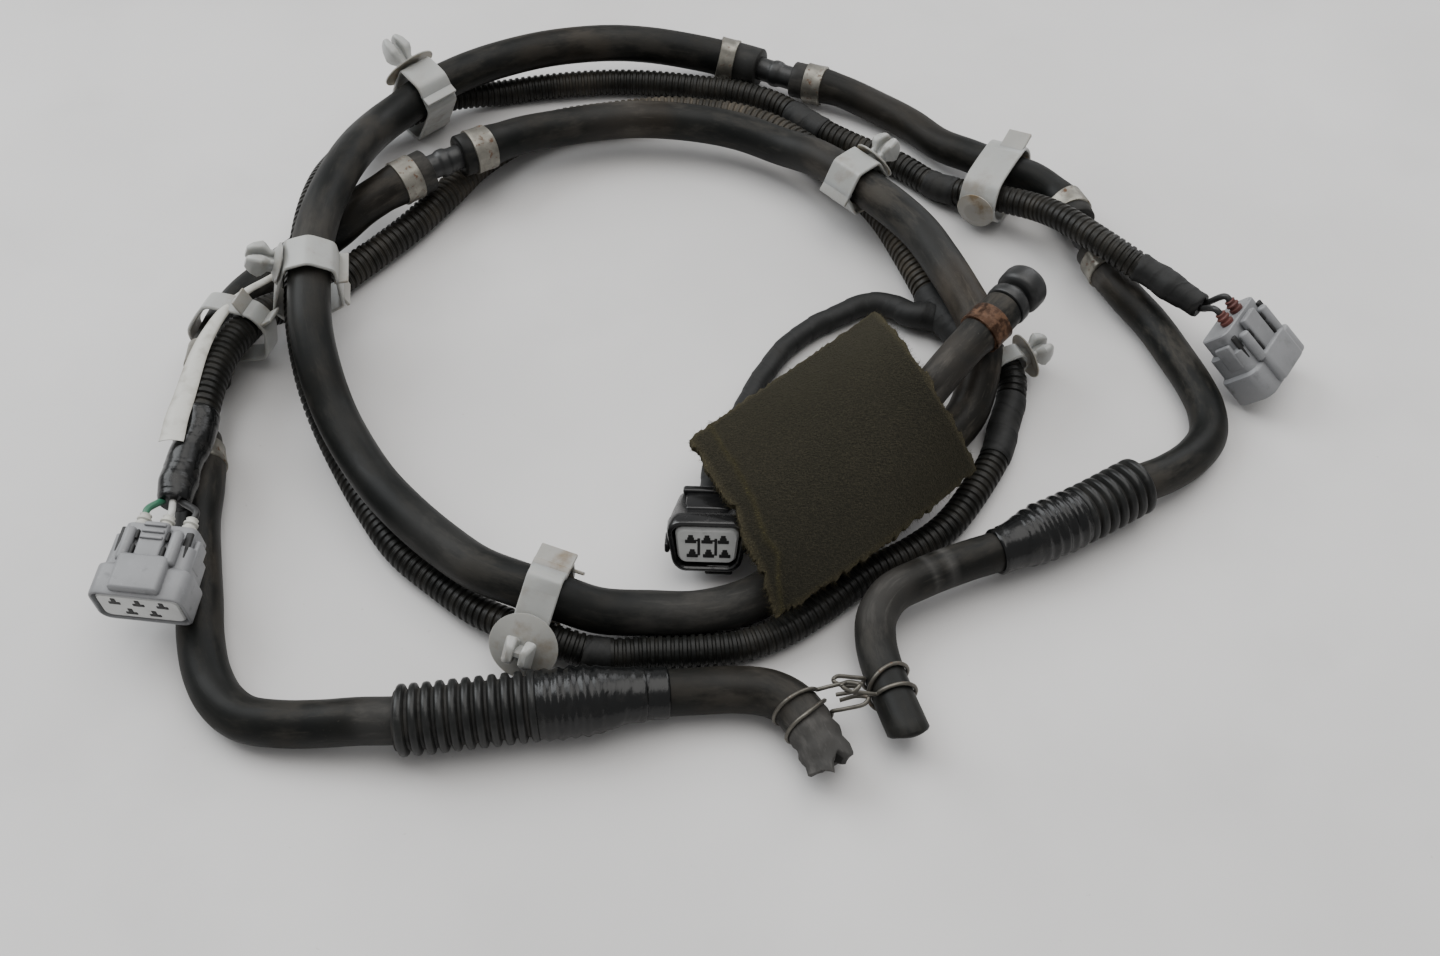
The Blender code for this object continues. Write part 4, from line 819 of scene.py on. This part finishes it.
# Spring clamps: two wide-set turns of wire, whose ends reach out in hooked loops
clamps = {"spring_clamp_left": {"line": "leftEnd", "diameter": 14.0, "out": -1.25, "reach": 12.0,
                                "lift": 0.1, "lean": 0.5, "apart": 7.0, "shift": 2.0},
          "spring_clamp_right": {"line": "rightEnd", "diameter": 12.5, "out": 1.1, "reach": 11.0,
                                 "lift": -0.05, "lean": -0.1, "apart": 7.2, "shift": -5.0}}
hook = ((0.35, 3.1), (0.8, 3.2), (1.0, 1.8), (0.85, 0.2), (0.35, -0.1))  # (share of the reach, across)
for name, setting in clamps.items():
    line = lines[setting["line"]]
    middle = np.array([nearOn(line, name) + mm * setting["shift"]])
    spot, way, lift, side = (value[0] for value in line.frame(middle))
    radius, wire = mm / 2 * setting["diameter"] + 0.0007, 0.00065
    share = np.linspace(0, 1, 120)
    turn = setting["out"] + 0.2 + share * (4 * math.pi - 0.4)
    run = mm * setting["apart"] * (ease(share, 0.36, 0.64) - 0.5)
    coil = (spot + run[:, None] * way + (radius * np.cos(turn))[:, None] * lift
            + (radius * np.sin(turn))[:, None] * side)
    out = unit(math.cos(setting["out"]) * lift + math.sin(setting["out"]) * side + [0, 0, setting["lift"]]
               + setting["lean"] * way)
    loops = []
    for tip, inward in ((coil[0], way), (coil[-1], -way)):
        # a loop goes straight out, round and part of the way back
        loops.append(np.array([tip + mm * (far * setting["reach"] * out + across * inward)
                               for far, across in hook]))
    points = np.vstack([loops[0], coil, loops[1][::-1]])
    strand = Route(points, up=way, metres=True)
    along = np.linspace(0, strand.length, 520)
    piece(name + "_wire", [carried(strand, along, np.full(520, wire), 10)], spring, name)

# Ribbed sleeves, open ribs first and then wound with shiny tape
sleeves = {
    "left": {"line": "leftEnd", "marks": [(-93, -145, 11), (-52, -140, 11), (-28, -136.8, 11)], "outer": 10.5,
             "pitch": 3.8, "bore": 7.9, "tail": 8.0, "band": 13.0},
    "right": {"line": "rightEnd", "marks": [(134, -60, 10.4), (112, -73, 10.4), (90, -84, 10.6)], "outer": 9.5,
              "pitch": 3.6, "bore": 7.1, "tail": 7.2, "band": 0}}
ribAt = np.array([0.0, 0.1, 0.24, 0.34, 0.5, 0.68, 0.78, 0.92])
lapWidth = 0.014
ribHeight = [0.0, 0.0, 0.78, 0.97, 1.0, 0.97, 0.78, 0.0]
sides, ringsApart = 48, 0.00055
for name, setting in sleeves.items():
    line = lines[setting["line"]]
    start, change, end = (line.near(mark) for mark in setting["marks"])
    count = round((change - start) / (mm * setting["pitch"]))
    share = (np.arange(count)[:, None] + ribAt[None, :]).ravel() / count
    high = np.tile(ribHeight, count)
    along = start + (change - start) * share
    radius = mm * (setting["outer"] - 1.7 * (1 - high))
    along = np.concatenate([[start + 0.012, start], along, [change]])
    radius = np.concatenate([[mm * setting["bore"]] * 2, radius, [radius[-1]]])
    crest = np.concatenate([[0, 0], high, [0]])
    shape = radius[:, None] * np.ones((1, sides))
    piece("sleeve_" + name + "_ribs", [carried(line, along, shape, sides, crest=crest)], sleeve,
          "sleeve_" + name)
    along = np.arange(change - 0.001, end + 0.006, ringsApart)
    angle = circle(sides)
    ribs = 0.5 - 0.5 * np.cos(2 * math.pi * (along - change) / (mm * setting["pitch"]))
    shrink = ease(along, end - 0.012, end + 0.002)
    base = (mm * (setting["outer"] - 0.75 * (1 - ribs) * (1 - shrink)) * (1 - shrink)
            + mm * setting["tail"] * shrink)
    lump = (wander(along, 0.007, 61)[:, None] * np.cos(angle + 0.8)
            + wander(along, 0.005, 62)[:, None] * np.sin(3 * angle))
    lap = np.mod(along[:, None] / lapWidth + angle / (2 * math.pi), 1.0)
    shape = base[:, None] + 0.00014 * lump + 0.0003 * lap
    shape[[0, -1]] *= 0.94
    wraps = [carried(line, along, shape, sides, dust=0.15)]
    if setting["band"]:  # a smooth turn of the same tape past the sleeve
        last = end + mm * setting["band"]
        along = np.linspace(end, last, 40)
        rise = ease(along, end, end + 0.0012) * ease(-along, -last, -last + 0.0006)
        wraps.append(carried(line, along, mm * (setting["tail"] - 0.9 + 0.55 * rise), sides, dust=0.0))
    taped("sleeve_" + name + "_tape", wraps, glossy, "sleeve_tape_" + name)
print("sleeves and clamps fitted")


# Clips: a band pulled round the cords, with a flange and a split plug
def gripped(held, point, width):
    # the middles and radii of the held cords where a band crosses them, and the way they run
    spots, ways, bandGap = [], [], 0.0009
    for lineName, diameter in held:
        line = lines[lineName]
        spot, way, _, _ = (value[0] for value in line.frame(np.array([line.near(point)]), 0.003))
        ways.append(-way if ways and ways[0] @ way < 0 else way)
        spots.append(spot)
    heading, middle = unit(np.mean(ways, axis=0)), np.mean(spots, axis=0)
    found = []
    for (_, diameter), spot, way in zip(held, spots, ways):
        slant = math.sqrt(max(0.0, 1 - (way @ heading) ** 2)) * mm / 2 * width
        found.append((spot + way * ((middle - spot) @ heading) / (way @ heading),
                      mm / 2 * diameter + slant + bandGap))
    return found, middle, heading


def bandForm(found, middle, heading, setting):
    # a band of bent flats: for flats facing the angles given, each as far out as the cords reach that way,
    # the distance is (sum of (cos(angle - facing) / distance) ^ p) ^ (-1 / p), which rounds their corners
    thick, soft, sides = 1.3, 0.35, 120
    lift = unit(upward - heading * heading[2])
    side = np.cross(heading, lift)
    angle = circle(sides)[0]
    centres = np.array([spot for spot, _ in found])
    radii = np.array([radius for _, radius in found])
    facing = np.radians(setting["flats"])
    flatOut = np.cos(facing)[:, None] * lift + np.sin(facing)[:, None] * side
    far = (flatOut @ (centres - middle).T + radii).max(axis=1) + 0.0003
    share = np.clip(np.cos(angle[:, None] - facing), 0, None) / far
    distance = (share ** setting["crisp"]).sum(axis=1) ** (-1 / setting["crisp"])
    out = np.cos(angle)[:, None] * lift + np.sin(angle)[:, None] * side
    base = middle + out * distance[:, None]
    w, t, s = mm / 2 * setting["width"], mm * thick, mm * soft
    section = [(0, -w + s), (s, -w), (t - s, -w), (t, -w + s), (t, w - s), (t - s, w), (s, w), (0, w - s)]
    grid = np.array([base + rise * out + run * heading for rise, run in section])
    shapes = [form(grid.transpose(1, 0, 2), wrapAlong=True, stain=0.0)]
    for facingAt, tilt, size, stain in setting["tabs"]:
        # a small plate that leaves the band at an angle, as (length, width, thickness, shift along the hose)
        turn = math.radians(facingAt)
        k = int(round(turn / (2 * math.pi) * sides)) % sides
        ahead = unit(base[(k + 2) % sides] - base[k - 2])
        rise = math.radians(tilt)
        way = math.cos(rise) * ahead + math.sin(rise) * out[k]
        above = np.cross(heading, way)
        at = (base[k] + t * out[k] * 0.4 + mm * size[3] * heading, heading, above, way)
        tab = block(at, (0, 0, size[0] / 2 - 0.6), (size[1], size[2], size[0] + 1.2), 0.35, 0.4)
        tab["marks"] = {"stain": np.full(len(tab["points"]), stain)}
        shapes.append(tab)
    return shapes


def stemForms(root, out, heading, setting):
    # the stem, a dished flange with a thin lip, and the plug: two sprung halves on a web
    at = (root, unit(np.cross(heading, out)), heading, out)
    reach, flange, plug = setting["reach"], setting["flange"] / 2, setting["plug"]
    neck = 3.5
    shapes = [turned(at, [(-0.6, 0.0), (-0.6, neck), (reach, neck - 0.4), (reach - 0.1, flange * 0.7),
                          (reach - 0.6, flange - 0.5), (reach - 0.5, flange), (reach - 0.1, flange + 0.1),
                          (reach + 0.7, flange * 0.72), (reach + 1.2, neck + 0.6), (reach + 1.4, neck),
                          (reach + 1.4, 0.0)], 48, stain=setting["stain"])]
    if plug:
        foot = reach + 1.1
        # each half of the split plug is a rounded wedge that swells to a shoulder
        wedge = [(0, 5.6, 2.2, 1.3), (0.18, 5.6, 2.3, 1.35), (0.36, 8.2, 3.1, 2.1), (0.5, 9.0, 3.5, 2.35),
                 (0.78, 7.4, 3.1, 2.0), (0.94, 5.6, 2.5, 1.6), (1, 4.4, 1.8, 1.5)]
        for turn in (-1, 1):
            shapes.append(loft(at, [(foot + plug * share, wide, high, 1.1, 0, turn * (off + 0.6))
                                    for share, wide, high, off in wedge], stain=0.0))
        shapes.append(loft(at, [(foot - 0.4, 2.2, 6.4, 0.8), (foot + plug * 0.62, 2.0, 6.0, 0.7),
                                (foot + plug * 0.78, 1.4, 4.4, 0.5)], stain=0.0))
    return shapes


clips = {  # flats: the angles the band's flats face, from up towards its right; tabs: (angle, tilt, size, stain and painted shade)
    "clip_top_left": {"held": [("rightOuter", 14), ("conduitRight", 10)], "at": (-114, 120, 14),
                      "out": (-0.6, 0.7, 0.55), "width": 13, "flange": 21, "plug": 12, "reach": 1.6, "stain": 0.3,
                      "flats": (-60, 8, 62, 120, 180, -125), "crisp": 22,
                      "tabs": [(46, 36, (4.5, 13, 1.3, 0), 0.15), (118, 12, (5.0, 12, 1.2, 0), 0.3)]},
    "clip_crossing": {"held": [("rightOuter", 14), ("conduitRight", 10)], "at": (-139, 10, 30),
                      "out": (-1.0, 0.35, 0.5), "width": 12, "flange": 13, "plug": 9, "reach": 1.6, "stain": 0.2,
                      "flats": (-70, -18, 34, 92, 150, 200, 245), "crisp": 26,
                      "tabs": [(62, 70, (4.5, 12, 1.3, 0), 0.5), (-50, 48, (3.0, 10, 1.2, 0), 0.3),
                               (100, 18, (5.5, 9, 1.2, -1), 0.8)]},
    "clip_front": {"held": [("rightOuter", 14), ("conduitRight", 10)], "at": (-54, -108, 9),
                   "out": (-0.1, -0.84, 0.56), "width": 11, "flange": 21, "plug": 7, "reach": 2.0, "stain": 0.25,
                   "flats": (-42, 22, 80, 135, 190, -110), "crisp": 22,
                   "tabs": [(26, 12, (9.0, 11.5, 1.3, 0), 0.55), (30, 34, (2.0, 11.5, 1.6, 0), 0.9),
                            (70, 20, (3.0, 5, 1.2, -6), 0.9)]},
    "clip_top_right": {"held": [("leftInner", 14)], "at": (49, 71, 18), "out": (0.7, 0.7, 0.45), "width": 13,
                       "flange": 16, "plug": 9, "reach": 1.6, "stain": 0.35, "flats": (60, 0, -55, -115, 180, 120),
                       "crisp": 24,
                       "tabs": [(-82, 160, (3.5, 13, 1.3, 0), 0.2), (-100, 190, (6.0, 12, 1.2, 0), 0.45)]},
    "clip_far_right": {"held": [("rightMid", 12.5), ("conduitRight", 10)], "at": (103, 81, 8),
                       # the flange here lies in shade under the band: its high stain is painted shade as well as
                       # stain
                       "out": (-0.4, -0.75, 0.0), "width": 14, "flange": 14, "plug": 0, "reach": 1.4, "stain": 0.9,
                       "flats": (0, 45, 90, 135, 180, 225, 270, 315), "crisp": 12,
                       "tabs": [(-50, 150, (7.0, 9, 1.2, 2), 0.45)]},
    "clip_right": {"held": [("conduitRight", 10)], "at": (96.8, -8, 8), "out": (1.0, 0.4, 0.15), "width": 6,
                   "flange": 16, "plug": 8, "reach": 1.6, "stain": 0.5, "flats": (0, 60, 120, 180, 240, 300),
                   "crisp": 16, "tabs": []},
    "clip_left_saddle": {"held": [("leftMid", 14), ("conduitLeft", 11.5)], "at": (-164, 3, 12), "out": None,
                         "width": 8, "flange": 0, "plug": 0, "reach": 0, "stain": 0.3,
                         "flats": (0, 55, 100, 150, 200, 260, 310), "crisp": 14,
                         "tabs": [(-32, 42, (7.5, 8, 1.2, 0), 0.5), (-60, 78, (6.0, 7, 1.2, 0), 0.3),
                                  (112, 8, (4.5, 8, 1.2, 0), 0.6)]}}
for name, setting in clips.items():
    found, middle, heading = gripped(setting["held"], setting["at"], setting["width"])
    shapes, bandMiddle = bandForm(found, middle, heading, setting), 0.0009
    if setting["out"]:
        out = np.asarray(setting["out"], float)
        out = unit(out - heading * (out @ heading))
        spot, radius = max(found, key=lambda row: row[0] @ out + row[1])
        spot = spot + heading * ((middle - spot) @ heading)
        shapes += stemForms(spot + out * (radius + bandMiddle), out, heading, setting)
    piece(name + "_nylon", shapes, nylon, name, smooth=38.0)
print("clips snapped on")

# Grey five-way housings: a rounded shell with a socket, a terminal block and a latch on ribs
housings = {
    "left": {"at": (-168.5, -101.5, 22.8), "facing": (-0.12, -1.0, -0.06), "ridges": 3},
    "right": {"at": (179.3, -5.1, 14.2), "facing": (0.66, -0.47, -0.58), "ridges": 0}}
shell = {"width": 29.0, "height": 16.0, "length": 26.0, "wall": 1.3, "depth": 7.0}
ports = [(-7.25, 2.67), (0.0, 2.67), (7.25, 2.67), (-3.62, -2.67), (3.62, -2.67)]
for name, setting in housings.items():
    at = frameAt(setting["at"], setting["facing"])
    w, h, half = shell["width"], shell["height"], shell["length"] / 2
    wall = 2 * shell["wall"]
    body = loft(at, [
        (-half, w - 7.5, h - 5.0, 2.4), (-half + 0.4, w - 6.6, h - 4.2, 2.8), (-half + 6.5, w - 6.4, h - 4.0, 2.8),
        (-half + 7.3, w - 3.4, h - 2.0, 3.0), (half - 11.0, w - 3.0, h - 1.8, 3.0),
        (half - 10.2, w - 0.3, h - 0.3, 3.6), (half - 9.6, w, h, 3.8), (half - 0.7, w, h, 3.8),
        (half - 0.15, w - 0.5, h - 0.5, 3.6), (half, w - 1.3, h - 1.3, 3.2),
        (half, w - wall + 0.6, h - wall + 0.6, 2.4), (half - 0.5, w - wall, h - wall, 2.1),
        (half - shell["depth"], w - wall, h - wall, 2.1)])
    top = h / 2
    # over the mouth a raised hood with two lower shoulders, behind it a latch tongue between round-ended guards
    parts = [body] + blocks(at, [((0, top + 0.5, half - 7.0), (15.4, 4.2, 12.0), 0.9, 1.6),
                                 ((0, top - 0.1, -5.2), (7.8, 2.6, 13.5), 0.5, 0.9)]
                            + [((0, top + 1.3, -10.6 + 2.2 * k), (7.0, 1.2, 1.1), 0.3)
                               for k in range(setting["ridges"])])
    for across in (-1, 1):
        parts += blocks(at, [((7.2 * across, top + 0.2, -3.8), (3.6, 3.4, 11.5), 0.9, 1.7),
                             ((12.2 * across, 1.6, -4.5), (1.8, 6.5, 9.5), 0.6, 0.8),
                             # the blocks given slot 1 are dark: painted shade in the gaps beside the latch tongue and
                             # outside the guards
                             ((9.9 * across, top - 1.7, -6.0), (2.4, 1.4, 9.0), 0.4, 0.8, 1),
                             ((4.65 * across, top + 0.55, -1.7), (1.1, 1.6, 3.8), 0.2, 0.8, 1),
                             ((4.65 * across, top + 0.55, -7.2), (1.0, 1.4, 3.0), 0.2, 0.8, 1),
                             ((4.6 * across, -top + 0.6, -4.0), (2.0, 1.6, 13.0), 0.4)])
    node = "connector_" + name
    piece(node + "_shell", parts, [grey, portShade], node, 34.0)
    front = half - 0.3
    inserts = [loft(at, [(half - shell["depth"] + 0.3, w - wall - 1.2, h - wall - 1.2, 2.2),
                         (front - 0.5, w - wall - 1.4, h - wall - 1.4, 2.2),
                         (front, w - wall - 2.3, h - wall - 2.3, 2.0)])]
    # each port is two dark blocks on the insert's face, painted shade where the socket hole is
    for across, above in ports:
        inserts += blocks(at, [((across, above + 0.75, front - 0.3), (1.5, 2.4, 0.9), 0.15, 0.3, 1),
                               ((across, above - 0.75, front - 0.3), (3.6, 1.4, 0.9), 0.15, 0.3, 1)])
    piece(node + "_insert", inserts, [pale, portShade], node + "_block", 34.0)

seals = {"left": ([(-7.25, 2.67), (0.0, 2.67), (7.25, 2.67)], [greenWire, whiteWire, darkWire],
                  ["wire_green", "wire_white", "wire_dark"], whiteSeal, "seal_white", (-168, -76, 22)),
         "right": ([(-3.62, 2.67), (3.62, 2.67)], [darkWire, darkWire],
                   ["wire_dark", "wire_dark"], redSeal, "seal_red", (164.2, 8.8, 19.5))}
sealProfile = [(-0.6, 0.0), (-0.6, 2.0), (0.0, 2.25), (0.9, 2.3), (1.3, 1.75), (1.7, 1.75), (2.1, 2.25),
               (2.6, 2.25), (3.0, 1.7), (3.5, 1.7), (4.0, 1.9), (4.3, 1.5), (4.3, 0.0)]
for name, (spots, wireLooks, wireSlots, sealLook, sealSlot, target) in seals.items():
    setting = housings[name]
    at = frameAt(setting["at"], setting["facing"])
    back = -shell["length"] / 2 - 0.3
    for k, (across, above) in enumerate(spots):
        seal, wire = (name + kind + str(k + 1) for kind in ("_seal_", "_wire_"))
        start = (moved(at, across, above, back), at[1], at[2], -at[3])
        piece(seal + "_rubber", [turned(start, sealProfile, 24)], sealLook, seal)
        away = moved(at, across, above, back - 3.0)
        goal = place(target) + 0.45 * (moved(at, across, above, 0) - at[0])
        bend = away - at[3] * 0.3 * np.linalg.norm(goal - away) + 0.0004 * at[1] * (k - 1)
        lead = Route([away, bend, goal, goal + unit(goal - bend) * 0.006], metres=True)
        along = np.linspace(0, lead.length, 40)
        piece(wire + "_lead", [carried(lead, along, np.full(40, 0.0011), 14)], wireLooks[k], wire)

# Black six-way housing with its pale terminal block
centre = {"at": (-3.7, -77.9, 12.6), "facing": (-0.03, -0.95, 0.31), "width": 25.0, "height": 19.0,
          "length": 22.0}
at = frameAt(centre["at"], centre["facing"])
w, h, half = centre["width"], centre["height"], centre["length"] / 2
body = loft(at, [
    (-half, 15, h - 7, 2.5), (-half + 0.5, 16.5, h - 6, 3.0), (-half + 4.5, 18.5, h - 3.0, 3.0, 0, 0.2),
    (-half + 5.2, 19.0, h - 2.0, 3.0, 0, 0.3), (half - 5.5, w - 0.8, h - 0.6, 4.2), (half - 4.9, w, h, 4.6),
    (half - 0.8, w, h, 4.6), (half - 0.2, w - 0.5, h - 0.5, 4.4), (half, w - 1.2, h - 1.2, 4.0),
    (half, w - 2.6, h - 2.6, 3.6), (half - 0.5, w - 3.4, h - 3.4, 3.3), (half - 7.0, w - 3.6, h - 3.6, 3.2)],
    pinch=0.2)
parts = [body] + blocks(at, [
    ((0, h / 2 + 0.2, -half + 5.4), (16.0, 2.0, 2.6), 0.5, 0.9), ((0, h / 2 - 1.0, -1.0), (14.0, 2.2, 9.0), 0.6, 1.0),
    ((-w / 2 + 0.2, -1.2, half - 4.0), (1.6, 3.6, 6.5), 0.5), ((w / 2 - 0.2, -1.2, half - 4.0), (1.6, 3.6, 6.5), 0.5),
    ((3.6, -h / 2 + 0.2, half - 5.5), (8.6, 3.4, 9.5), 0.6, 1.0),
    ((3.6, -h / 2 - 0.6, half - 1.6), (8.6, 1.6, 2.0), 0.4, 0.7)])
piece("connector_centre_shell", parts, jet, "connector_centre", 34.0)
front = half - 0.7
inserts = [loft(at, [(front - 6.0, w - 5.4, h - 5.8, 2.6), (front - 0.9, w - 5.4, h - 5.8, 2.6),
                     (front, w - 6.8, h - 7.4, 2.2, 0, -0.2)], pinch=0.12)]
for row in (1, -1):
    for column in (-1, 0, 1):
        # each port is a keyhole: three dark steps that widen to a base, painted shade where the hole is
        x, y = column * 5.0 + 0.5 * (row < 0), row * 2.7 - 0.2
        inserts += blocks(at, [((x, y + rise, front - 0.3), (wide, high, 0.9), 0.12, 0.2, 1)
                               for rise, wide, high in ((1.2, 1.5, 1.1), (0.3, 2.1, 1.1), (-0.7, 3.5, 1.3))])
# two dark bars between the columns, painted shade in the slots
for across in (-2.5, 2.7):
    inserts += blocks(at, [((across, -0.2, front - 0.3), (0.9, 6.6, 0.8), 0.15, 0.2, 1),
                           ((across - 0.7, 2.2, front - 0.3), (1.4, 0.7, 0.8), 0.15, 0.2, 1)])
piece("connector_centre_insert", inserts, [pale, portShade], "connector_centre_block", 34.0)
print("connectors closed")

# Feed fitting: collar, waist and a rounded head with a bore
line = lines["feed"]
end = line.length + 0.0003
fitting = [(-3.0, 4.3), (0.0, 4.3), (0.0, 6.6), (0.3, 7.1), (1.0, 7.4), (3.6, 7.4), (4.1, 7.1), (4.4, 6.2),
           (4.7, 5.2), (6.4, 5.1), (6.9, 6.4), (7.4, 7.3), (8.4, 7.9), (9.6, 8.0), (12.6, 8.0), (13.8, 7.7),
           (14.8, 7.0), (15.3, 6.0), (15.4, 5.0), (15.2, 4.2), (14.4, 3.6), (10.0, 3.4), (9.4, 3.2)]
ahead, radius = mm * np.array(fitting).T
piece("feed_fitting_moulded", [carried(line, end + ahead, radius, 48)], joint, "feed_fitting", 34.0)

# Felt pad: a limp sheet laid over the tee, with a crease down its left side and loose fibres at the rim
pad = {"rows": [[(53.7, 11.3, 13.5), (20.5, -21, 17), (-9.6, -53, 24)],
                [(64.5, -33.5, 35), (37, -57, 29), (5.4, -88.5, 26.9)],
                [(81, -56.5, 14.5), (49, -91, 20.5), (16.4, -114, 17.5)]], "thick": 2.8, "across": 130, "down": 130,
       "crease": [(0.0, 0.9), (0.25, 0.905), (0.5, 0.915), (0.62, 0.93), (0.75, 0.915), (0.9, 0.955), (1.0, 0.975)],
       "fibres": 1500, "creaseHalf": 0.011, "rimShare": 0.03}
u, v = np.meshgrid(np.linspace(0, 1, pad["across"]), np.linspace(0, 1, pad["down"]), indexing="ij")


def weights(s):
    return np.stack([2 * (s - 0.5) * (s - 1), 4 * s * (1 - s), 2 * s * (s - 0.5)])


middleSheet = np.einsum("auv,buv,abk->uvk", weights(u), weights(v), place(pad["rows"]))
rim = np.minimum(np.minimum(u, 1 - u), np.minimum(v, 1 - v))
edge = np.clip(1 - rim / pad["rimShare"], 0, 1)
ragged = (0.0007 * wander(u + 3 * v, 0.045, 71) + 0.0004 * wander(3 * u + v, 0.013, 72)) * edge
bitten = -0.0022 * np.clip(wander(u, 0.11, 76), 0, 1) * ease(v, 0.93, 1.0) * ease(u, 0.1, 0.3)
sheetAcross = unit(np.gradient(middleSheet, axis=0))
sheetDown = unit(np.gradient(middleSheet, axis=1))
normal = unit(np.cross(sheetAcross, sheetDown))
normal = normal * np.sign(normal[..., 2:])
creaseAt = np.interp(u, *np.array(pad["crease"]).T) + 0.006 * wander(u, 0.05, 77)
crease = np.exp(-((v - creaseAt) / pad["creaseHalf"]) ** 2)
bump = 0.0003 * wander(u + 0.3 * v, 0.3, 73) + 0.00055 * crease - 0.0004 * ease(v, 0.93, 0.99)
middleSheet = (middleSheet + normal * bump[..., None] + sheetAcross * ragged[..., None]
               + sheetDown * (ragged + bitten)[..., None])
half = mm / 2 * pad["thick"] * np.sqrt(np.clip(1 - (edge * 0.75) ** 2, 0, 1))
topSide, underSide = middleSheet + normal * half[..., None], middleSheet - normal * half[..., None]


def fibresOn(count, seed):
    # thin three-sided hairs with a point, standing out from the rim and lying over the crease
    luck = seeded(seed)
    share, pick = luck.random(count), luck.integers(0, 5, count)
    last = pad["across"] - 1
    rows = np.select([pick == 0, pick == 1], [np.zeros(count), np.full(count, last)], share * last).astype(int)
    columns = np.select([pick == 2, pick == 3, pick == 4],
                        [np.zeros(count), np.full(count, last), creaseAt[rows, 0] * last], share * last).astype(int)
    out = (1.0 * (pick == 1) - (pick == 0))[:, None] * sheetAcross[rows, columns] + (
        1.0 * (pick == 3) - (pick == 2))[:, None] * sheetDown[rows, columns]
    over = (pick == 4)[:, None] * normal[rows, columns]
    way = unit(out + luck.normal(0, 0.6, (count, 3)) * [1, 1, 0.6] + 0.25 * over)
    foot = middleSheet[rows, columns] + over * 0.0012
    foot = foot + normal[rows, columns] * luck.uniform(-0.001, 0.001, (count, 1))
    side = unit(np.cross(way, luck.normal(0, 1, (count, 3))))
    lift = np.cross(way, side)
    reach = luck.uniform(0.0008, 0.0024, (count, 1)) * np.where(pick == 4, 0.7, 1.0)[:, None]
    corners = np.stack([foot - 0.0006 * way + 0.00007 * (math.cos(a) * side + math.sin(a) * lift)
                        for a in (0, 2.1, 4.2)] + [foot + reach * way], axis=1)
    start = np.arange(count)[:, None, None] * 4
    faces = (np.array([[0, 1, 2], [1, 0, 3], [2, 1, 3], [0, 2, 3]])[None] + start).reshape(-1, 3)
    return {"points": corners.reshape(-1, 3), "quads": np.zeros((0, 4), int), "fans": faces,
            "marks": {"rim": np.ones(count * 4), "crease": np.repeat(0.6 * (pick == 4), 4)}, "slot": 0}


def closedSheet(top, under, mark):
    # two skins stitched round their rim
    rows, columns = top.shape[:2]
    index = np.arange(rows * columns).reshape(rows, columns)
    quads = quadsOf(index)
    loop = np.concatenate([index[0, :-1], index[:-1, -1], index[-1, :0:-1], index[:0:-1, 0]])
    after = np.roll(loop, -1)
    size = rows * columns
    walls = np.stack([after, loop, loop + size, after + size], axis=1)
    return {"points": np.vstack([top.reshape(-1, 3), under.reshape(-1, 3)]),
            "quads": np.vstack([quads, quads[:, ::-1] + size, walls]), "fans": np.zeros((0, 3), int),
            "marks": {"rim": np.concatenate([mark.ravel(), mark.ravel()])}, "slot": 0}


feltSkin = closedSheet(topSide, underSide, edge)
feltSkin["marks"]["crease"] = np.concatenate([crease.ravel(), 0 * crease.ravel()])
padMade = piece("felt_pad_cloth", [feltSkin, fibresOn(pad["fibres"], 79)], felt, "felt_pad", smooth=60.0)

# Label strip: a thin blank band laid down the left conduit
strip = {"points": [(-148, 33, 16), (-157, 22, 20), (-163, 10, 24.5), (-167, -4, 28), (-169.5, -20, 29.5),
                    (-170.5, -36, 29.6), (-171, -48, 29.8), (-171, -57, 29.9)],
         "width": [2.4, 3.0, 3.4, 4.4, 5.6, 6.6, 7.4, 7.8], "thick": 0.25}
strand = Route(strip["points"])
along = np.linspace(0, strand.length, 90)
spot, way, lift, side = strand.frame(along)
wide = mm / 2 * np.interp(along, np.linspace(0, strand.length, len(strip["width"])), strip["width"])
across = np.linspace(-1, 1, 9)
arc = -0.0009 * across[None, :] ** 2
middleStrip = spot[:, None, :] + side[:, None, :] * (wide[:, None] * across)[..., None] + lift[:, None, :] * (
    arc + 0.0003 * wander(along, 0.008, 81)[:, None])[..., None]
stripRim = np.clip(np.abs(across)[None, :] ** 6 + 0 * along[:, None], 0, 1)
lift = lift[:, None, :] * mm / 2 * strip["thick"]
piece("label_strip", [closedSheet(middleStrip + lift, middleStrip - lift, stripRim)], paper, smooth=60.0)
print("felt and label laid")
